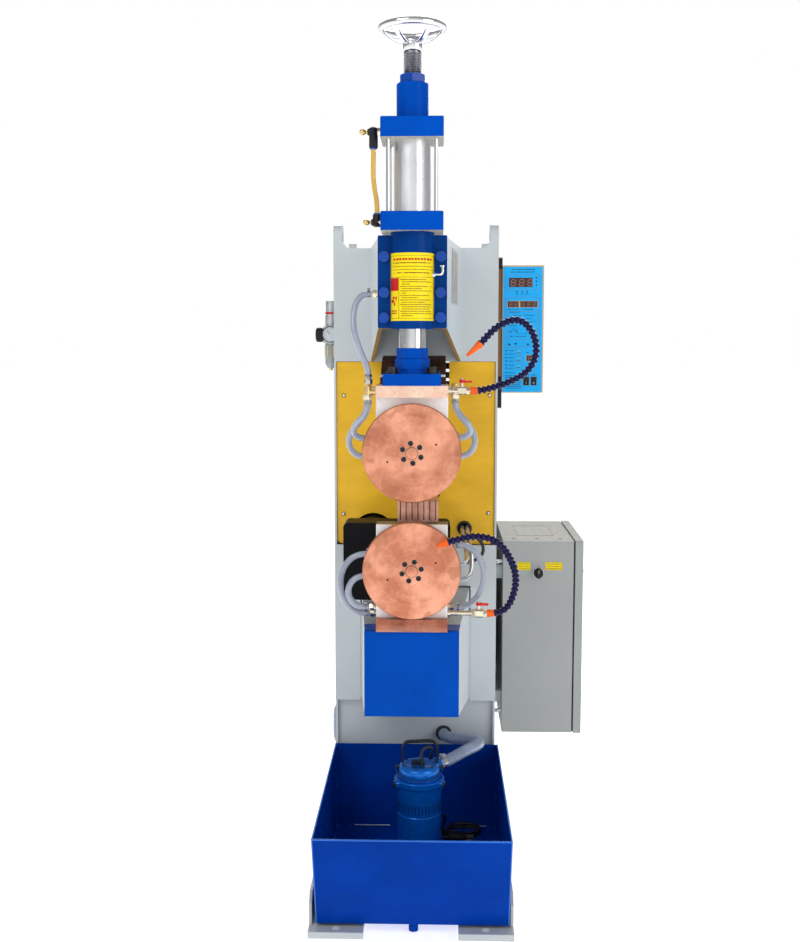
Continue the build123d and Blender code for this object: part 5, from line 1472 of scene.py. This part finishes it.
def air_unit():
    """Filter regulator parts: knurled knob grip, red ring, clear bowl, drain tap, gauge and screws."""
    knob = Span("regulator_knob")
    ribs = bmesh.new()
    for cosine, sine in spokes(24):
        out = Vector((0, cosine, sine))
        centre = Vector((knob.x0 + 9, knob.y, knob.z)) + out * 16.8
        box(ribs, centre - Vector((6, 0.9, 0.9)), centre + Vector((6, 0.9, 0.9)), 0.4)
    piece("regulator_ribs", ribs, black_plastic, "air_knob")
    x, y = FILTER_X, FILTER_Y
    collar, bowl, tap, gauge_case, gauge_face, hand = (bmesh.new() for _ in range(6))
    lathe(collar, [(12.6, 0), (13.6, 0.6), (13.6, 4.4), (12.6, 5)], (x, y, 1288), Z, 32, True)
    lathe(bowl, [(0, 0), (9, 0), (13.2, 7), (14.6, 12), (14.8, 60), (0, 60)], (x, y, 1155.5), Z, 36)
    for cosine, sine in spokes(6):
        centre = Vector((x + 14.6 * cosine, y + 14.6 * sine, 1196))
        box(tap, centre - Vector((1.2, 1.2, 14)), centre + Vector((1.2, 1.2, 14)), 0.4)
    lathe(tap, [(0, 0), (4, 0), (5, 2), (5, 6), (3, 8), (0, 8)], (x, y, 1149), Z, 20)
    lathe(gauge_case, [(0, 0), (19, 0), (20, 2), (20, 12), (18.6, 13), (18.6, 11), (0, 11)],
          (x + 1, y - 20, GAUGE_Z), -Y, 48)
    rod(gauge_face, 18.2, 0.3, (x + 1, y - 31.1, GAUGE_Z), -Y, 48)
    for number in range(11):
        angle = math.radians(225 - 27 * number)
        a = Vector((x + 1 + 14 * math.cos(angle), y - 31.5, GAUGE_Z + 14 * math.sin(angle)))
        b = Vector((x + 1 + 16.5 * math.cos(angle), y - 31.5, GAUGE_Z + 16.5 * math.sin(angle)))
        sweep(hand, [a, b], 0.35, 6)
    sweep(hand, [(x + 1, y - 31.7, GAUGE_Z), (x - 7, y - 31.7, GAUGE_Z + 9)], 0.5, 6)
    piece("filter_collar", collar, label_red)
    piece("filter_bowl", bowl, bowl_plastic)
    piece("filter_tap", tap, plain_brass)
    piece("gauge_case", gauge_case, black_plastic)
    piece("gauge_face", gauge_face, button_white)
    piece("gauge_hand", hand, black_plastic)
    head = bmesh.new()
    for dx, dy in ((-9, -14), (7, -14), (-9, 14), (7, 14)):
        lathe(head, [(3.4, 0), (3.4, 2.4), (1.8, 2.4), (1.8, 1.2), (0, 1.2)], (x + dx, y + dy, 1257.9), Z, 18)
    piece("filter_screws", head, zinc)


# ================= coolant pump and tank =================

def pump():
    """Submersible pump: barrel with slots drawn as dark strips of painted shadow, clamp ring, cover, wire
    loop, glands, bolts and handle.
    """
    x, y, f = PUMP_X, PUMP_Y, PUMP_FLOOR
    body, ring_part, black, wire, slot_shadows, bolts = (bmesh.new() for _ in range(6))
    lathe(body, [(0, f), (42, f), (44, f + 4), (44, f + 20), (49, f + 22), (49, 182), (48.2, 183),
                 (48.2, 185), (49, 186), (49, 214), (50, 219), (50, 246.6), (0, 246.6)], (x, y, 0), Z, 72)
    lathe(body, [(0, 261), (46, 261), (46.4, 264), (45.8, 282), (44.6, 286), (41, 289.4), (34, 290.6),
                 (32, 289.4), (0, 289.6)], (x, y, 0), Z, 72)
    along = Vector((1, 1, 0)).normalized()
    lathe(body, [(0, 30), (15, 30), (15, 46), (16.6, 47), (16.6, 52), (15, 53), (15, 60), (0, 60)],
          (x, y, 274), along, 36)
    lathe(ring_part, [(47.5, 247), (54, 247), (55.4, 248.6), (55.4, 259.4), (54, 261), (47.5, 261)],
          (x, y, 0), Z, 72, True)
    for cosine, sine in spokes(3, 90):
        out = Vector((cosine, sine, 0))
        prism(ring_part, rounded(18, 14, 4), Vector((x, y, 254)) + out * 53, out, 9, 1)
        hexagon_bolt(bolts, Vector((x, y, 254)) + out * 61.6, out, 8, 3.4)
    for cosine, sine in spokes(6, 20):
        dome_screw(bolts, (x + 37 * cosine, y + 37 * sine, 289.8), Z, 3.4, 1.8)
    # Dark strips on the barrel stand for the shade inside the slots: painted shadow.
    for cosine, sine in spokes(40):
        out = Vector((cosine, sine, 0))
        centre = Vector((x, y, 0)) + out * 48.2
        wide = Z.cross(out) * 1.2
        quad = [centre - wide + Z * 190, centre + wide + Z * 190, centre + wide + Z * 211,
                centre - wide + Z * 211]
        skin(slot_shadows, [[slot_shadows.verts.new(corner + out * depth) for corner in quad] for depth in (0, 1.2)])
    lathe(black, [(0, 284), (9, 284), (9, 290), (7, 291.4), (7, 297), (6, 299.8), (0, 299.8)], (18, y, 0), Z,
          28)
    lathe(black, [(0, 284), (7.6, 284), (7.6, 290), (6, 291), (6, 298), (0, 298)], (4, y, 0), Z, 28)
    path = [(-24, -294, 278), (-24, -294, 300), (-24, -294, 317), (-22, -294, 326), (-16, -294, 332),
            (-8, -294, 333.6), (15, -294, 334.8), (38, -294, 336), (46, -294, 334), (52, -294, 328),
            (54, -294, 318), (54, -294, 300), (54, -294, 278)]
    rows = []
    for number, point in enumerate(path):
        before, after = Vector(path[max(0, number - 1)]), Vector(path[min(len(path) - 1, number + 1)])
        normal = Y.cross((after - before).normalized())
        rows.append([black.verts.new(Vector(point) + Y * dy + normal * dn)
                     for dy, dn in ((-6, -2.2), (6, -2.2), (6, 2.2), (-6, 2.2))])
    skin(black, rows)
    loop = []
    for step in range(33):
        angle = math.radians(180 + 180 * step / 32)
        sag = 16 * math.sin(math.pi * step / 32)
        loop.append((x + 52.5 * math.cos(angle), y + 53.5 * math.sin(angle), 284 - sag))
    sweep(wire, loop, 0.9, 8)
    for side in (-1, 1):
        rod(wire, 3.4, 9, (x + side * 45, y, 284), X * side, 16)
    piece("pump_casing", body, pump_enamel, replaces=("pump_body",))
    piece("pump_clamp_ring", ring_part, pump_enamel)
    piece("pump_handle_and_glands", black, black_plastic)
    piece("pump_wire", wire, dark_steel)
    piece("pump_slot_shadows", slot_shadows, slot_shadow)
    piece("pump_bolts", bolts, dark_steel)


def weld_run(bm, start, end, size=2.6):
    """Bead of overlapping weld ripples between two places."""
    start, end = Vector(start), Vector(end)
    count = max(2, int((end - start).length / (size * 1.15)))
    points = [start.lerp(end, n / (3 * count)) for n in range(3 * count + 1)]
    sweep(bm, points, lambda t: size * (0.80 + 0.20 * abs(math.sin(math.pi * t * count))), 8)


def tank_welds():
    """Weld beads inside the tank corners, pale welds along its back that are partly bare metal and partly
    painted highlight, and a rolled lip bead whose lighter blue is painted highlight.
    """
    bm, lip, bare_weld_highlights = bmesh.new(), bmesh.new(), bmesh.new()
    weld_run(bm, (TANK_LEFT, -517, 26), (TANK_LEFT, TANK_BACK, 26))
    weld_run(bm, (TANK_RIGHT, -517, 26), (TANK_RIGHT, TANK_BACK, 26))
    weld_run(bm, (TANK_LEFT, TANK_BACK, 26), (TANK_RIGHT, TANK_BACK, 26))
    weld_run(bm, (TANK_LEFT, TANK_TOE, 26), (TANK_RIGHT, TANK_TOE, 26))
    for x in (TANK_LEFT, TANK_RIGHT):
        weld_run(bm, (x, TANK_TOE, 26), (x, -594.5, 232), 2.2)
        weld_run(bm, (x, TANK_BACK, 26), (x, TANK_BACK, 232), 2.2)
    sweep(lip, [(-196, TANK_LIP_Y, TANK_LIP_Z), (202, TANK_LIP_Y, TANK_LIP_Z)], 1.9, 12)
    for x in (-195.5, 201.5):
        sweep(lip, [(x, TANK_LIP_Y, TANK_LIP_Z), (x, -25.5, TANK_LIP_Z)], 1.9, 12)
        sweep(lip, [(x, -520 - TANK_SLOPE * 2, 24), (x, TANK_LIP_Y, 234)], 1.3, 10)
    piece("tank_welds", bm, tank_enamel)
    # Pale welds along the back: partly bare metal, partly painted highlight.
    for x0, x1 in ((-150, -62), (150, 176)):
        weld_run(bare_weld_highlights, (x0, -30, 28.5), (x1, -30, 28.5), 1.7)
    piece("tank_weld_highlights", bare_weld_highlights, weld_highlight_white)
    piece("tank_lip", lip, lip_highlight_enamel)


def frame_welds():
    """Welds of the arms to the column, the rear cover's screws and its cable entry."""
    bm, screws = bmesh.new(), bmesh.new()
    for side in (-1, 1):
        weld_run(bm, (side * 107, -25, 1180), (side * 107, -25, 1432), 2.4)
        weld_run(bm, (side * 131, -35, 356), (side * 131, -35, 570), 2.4)
    piece("arm_welds", bm, column_paint)
    cover = Span("rear_cover")
    for x in (cover.x0 + 14, cover.x1 - 14):
        for z in (cover.z0 + 20, cover.z0 + 480, cover.z1 - 480, cover.z1 - 20):
            dome_screw(screws, (x, cover.y1, z), Y, 5, 2.6)
    lathe(screws, [(0, 0), (19, 0), (19, 4), (15, 6), (15, 16), (0, 16)], (-120, cover.y1, 120), Y, 36)
    piece("rear_screws", screws, zinc)


def valve_parts():
    """Union nuts, handle nuts and pipe collars of the two coolant valves."""
    bm = bmesh.new()
    for node, lever in (("upper_valve", "upper_valve_lever"), ("lower_valve", "lower_valve_lever")):
        valve, handle = Span(node), Span(lever)
        prism(bm, polygon(6, 14.5), (valve.x1 - 34, valve.y, (valve.z0 + 8)), X, 8, 1.0)
        prism(bm, polygon(6, 13.5), (valve.x1 - 10.5, valve.y, (valve.z0 + 8)), X, 7, 1.0)
        rod(bm, 7.6, 5, (valve.x0 + 0.3, valve.y, valve.z0 + 8), X, 24)
        body = "upper_lever" if node == "upper_valve" else "lower_lever"
        top = bmesh.new()
        prism(top, polygon(6, 6), (handle.x0 + 6, handle.y, handle.z1 - 0.4), Z, 3, 0.5)
        piece(f"{lever}_nut", top, zinc, body)
    piece("valve_unions", bm, nickel_brass)


def spindle_details():
    """Balance marks, centre faces and screw rims of the wheels, and the shim on the lower block."""
    for name, wheel, body in (("upper", "upper_wheel", "upper_rotor"), ("lower", "lower_wheel",
                                                                        "lower_rotor")):
        span = Span(wheel)
        marks = bmesh.new()
        for cosine, sine in spokes(2, 20):
            lathe(marks, [(0, 0), (2.2, 0), (1.4, 0.35), (0, 0.4)],
                  (span.x + 52 * cosine, span.y0, span.z + 52 * sine), -Y, 16)
        piece(f"{name}_wheel_marks", marks, dark_steel, body)
        front, cap, rims = Span(f"{name}_spindle").y0, bmesh.new(), bmesh.new()
        lathe(cap, [(0, -0.2), (11.6, -0.2), (11.6, 0.3), (10.8, 0.5), (0, 0.5)], (span.x, front, span.z), -Y,
              40)
        for cosine, sine in spokes(6, SCREW_TURNS[name]):
            ring(rims, (span.x + 20 * cosine, span.y0, span.z + 20 * sine), Y, 5.6, 0.35, 28, 6)
        piece(f"{name}_spindle_face", cap, CAD_FINISHES[wheel], body)
        piece(f"{name}_screw_rims", rims, long_copper, body)
    shim, edge = bmesh.new(), bmesh.new()
    box(shim, (-72.5, -465.5, 848), (72.5, -440.5, 849.6), 0.3)
    box(edge, (-72.8, -466.4, 847.8), (72.8, -465.4, 849.8), 0.2)
    piece("lower_block_shim", shim, dark_steel)
    piece("lower_block_shim_edge", edge, tan_edge)


# ================= light and floor =================

def floor_and_light():
    """Pale floor that runs out of sight, a sky graded from front to back and three soft lamps."""
    bm = bmesh.new()
    bmesh.ops.create_circle(bm, cap_ends=True, radius=FLOOR_RADIUS, segments=96,
                            matrix=Matrix.Translation((0, 0, -0.5)))
    floor = piece("floor", bm, studio_floor, None)
    world = bpy.data.worlds.new("studio")
    world.use_nodes = True
    tree = world.node_tree
    place = tree.nodes.new("ShaderNodeTexCoord")
    parts = tree.nodes.new("ShaderNodeSeparateXYZ")
    ramp = tree.nodes.new("ShaderNodeValToRGB")
    for number, (position, level) in enumerate(SKY_LEVELS):
        stop = ramp.color_ramp.elements[number] if number < 2 else ramp.color_ramp.elements.new(position)
        stop.position = position
        stop.color = (level, level, level, 1)
    half = tree.nodes.new("ShaderNodeMapRange")
    half.inputs["From Min"].default_value = -1.0
    tree.links.new(place.outputs["Generated"], parts.inputs[0])
    tree.links.new(parts.outputs["Y"], half.inputs["Value"])
    tree.links.new(half.outputs["Result"], ramp.inputs["Fac"])
    tree.links.new(ramp.outputs["Color"], tree.nodes["Background"].inputs["Strength"])
    tree.nodes["Background"].inputs["Color"].default_value = (1.0, 1.0, 1.0, 1)
    bpy.context.scene.world = world
    for name, place, size, power in LAMPS:
        data = bpy.data.lights.new(name, "AREA")
        data.size = size
        data.energy = power
        lamp = bpy.data.objects.new(name, data)
        lamp.location = place
        lamp.rotation_euler = (LAMP_AIM - Vector(place)).to_track_quat("-Z", "Y").to_euler()
        bpy.context.scene.collection.objects.link(lamp)
    bpy.context.scene.view_settings.view_transform = "Standard"


paint_cad()
water_hoses()
feed_hose()
outlet_hose()
pump_lead()
air_line()
jointed_hose("upper_hose", upper_coolant_route, upper_nozzle_end, "upper_coolant", "upper_coolant_hose")
jointed_hose("lower_hose", lower_coolant_route, lower_nozzle_end, "lower_coolant", "lower_coolant_hose")
shunt()
hand_wheel()
air_controls()
fixed_necks()
guide_label()
oil_elbow()
nose_plate()
panel_screws()
controller_face()
controller_bracket()
cabinet_details()
air_unit()
pump()
tank_welds()
frame_welds()
valve_parts()
spindle_details()
floor_and_light()
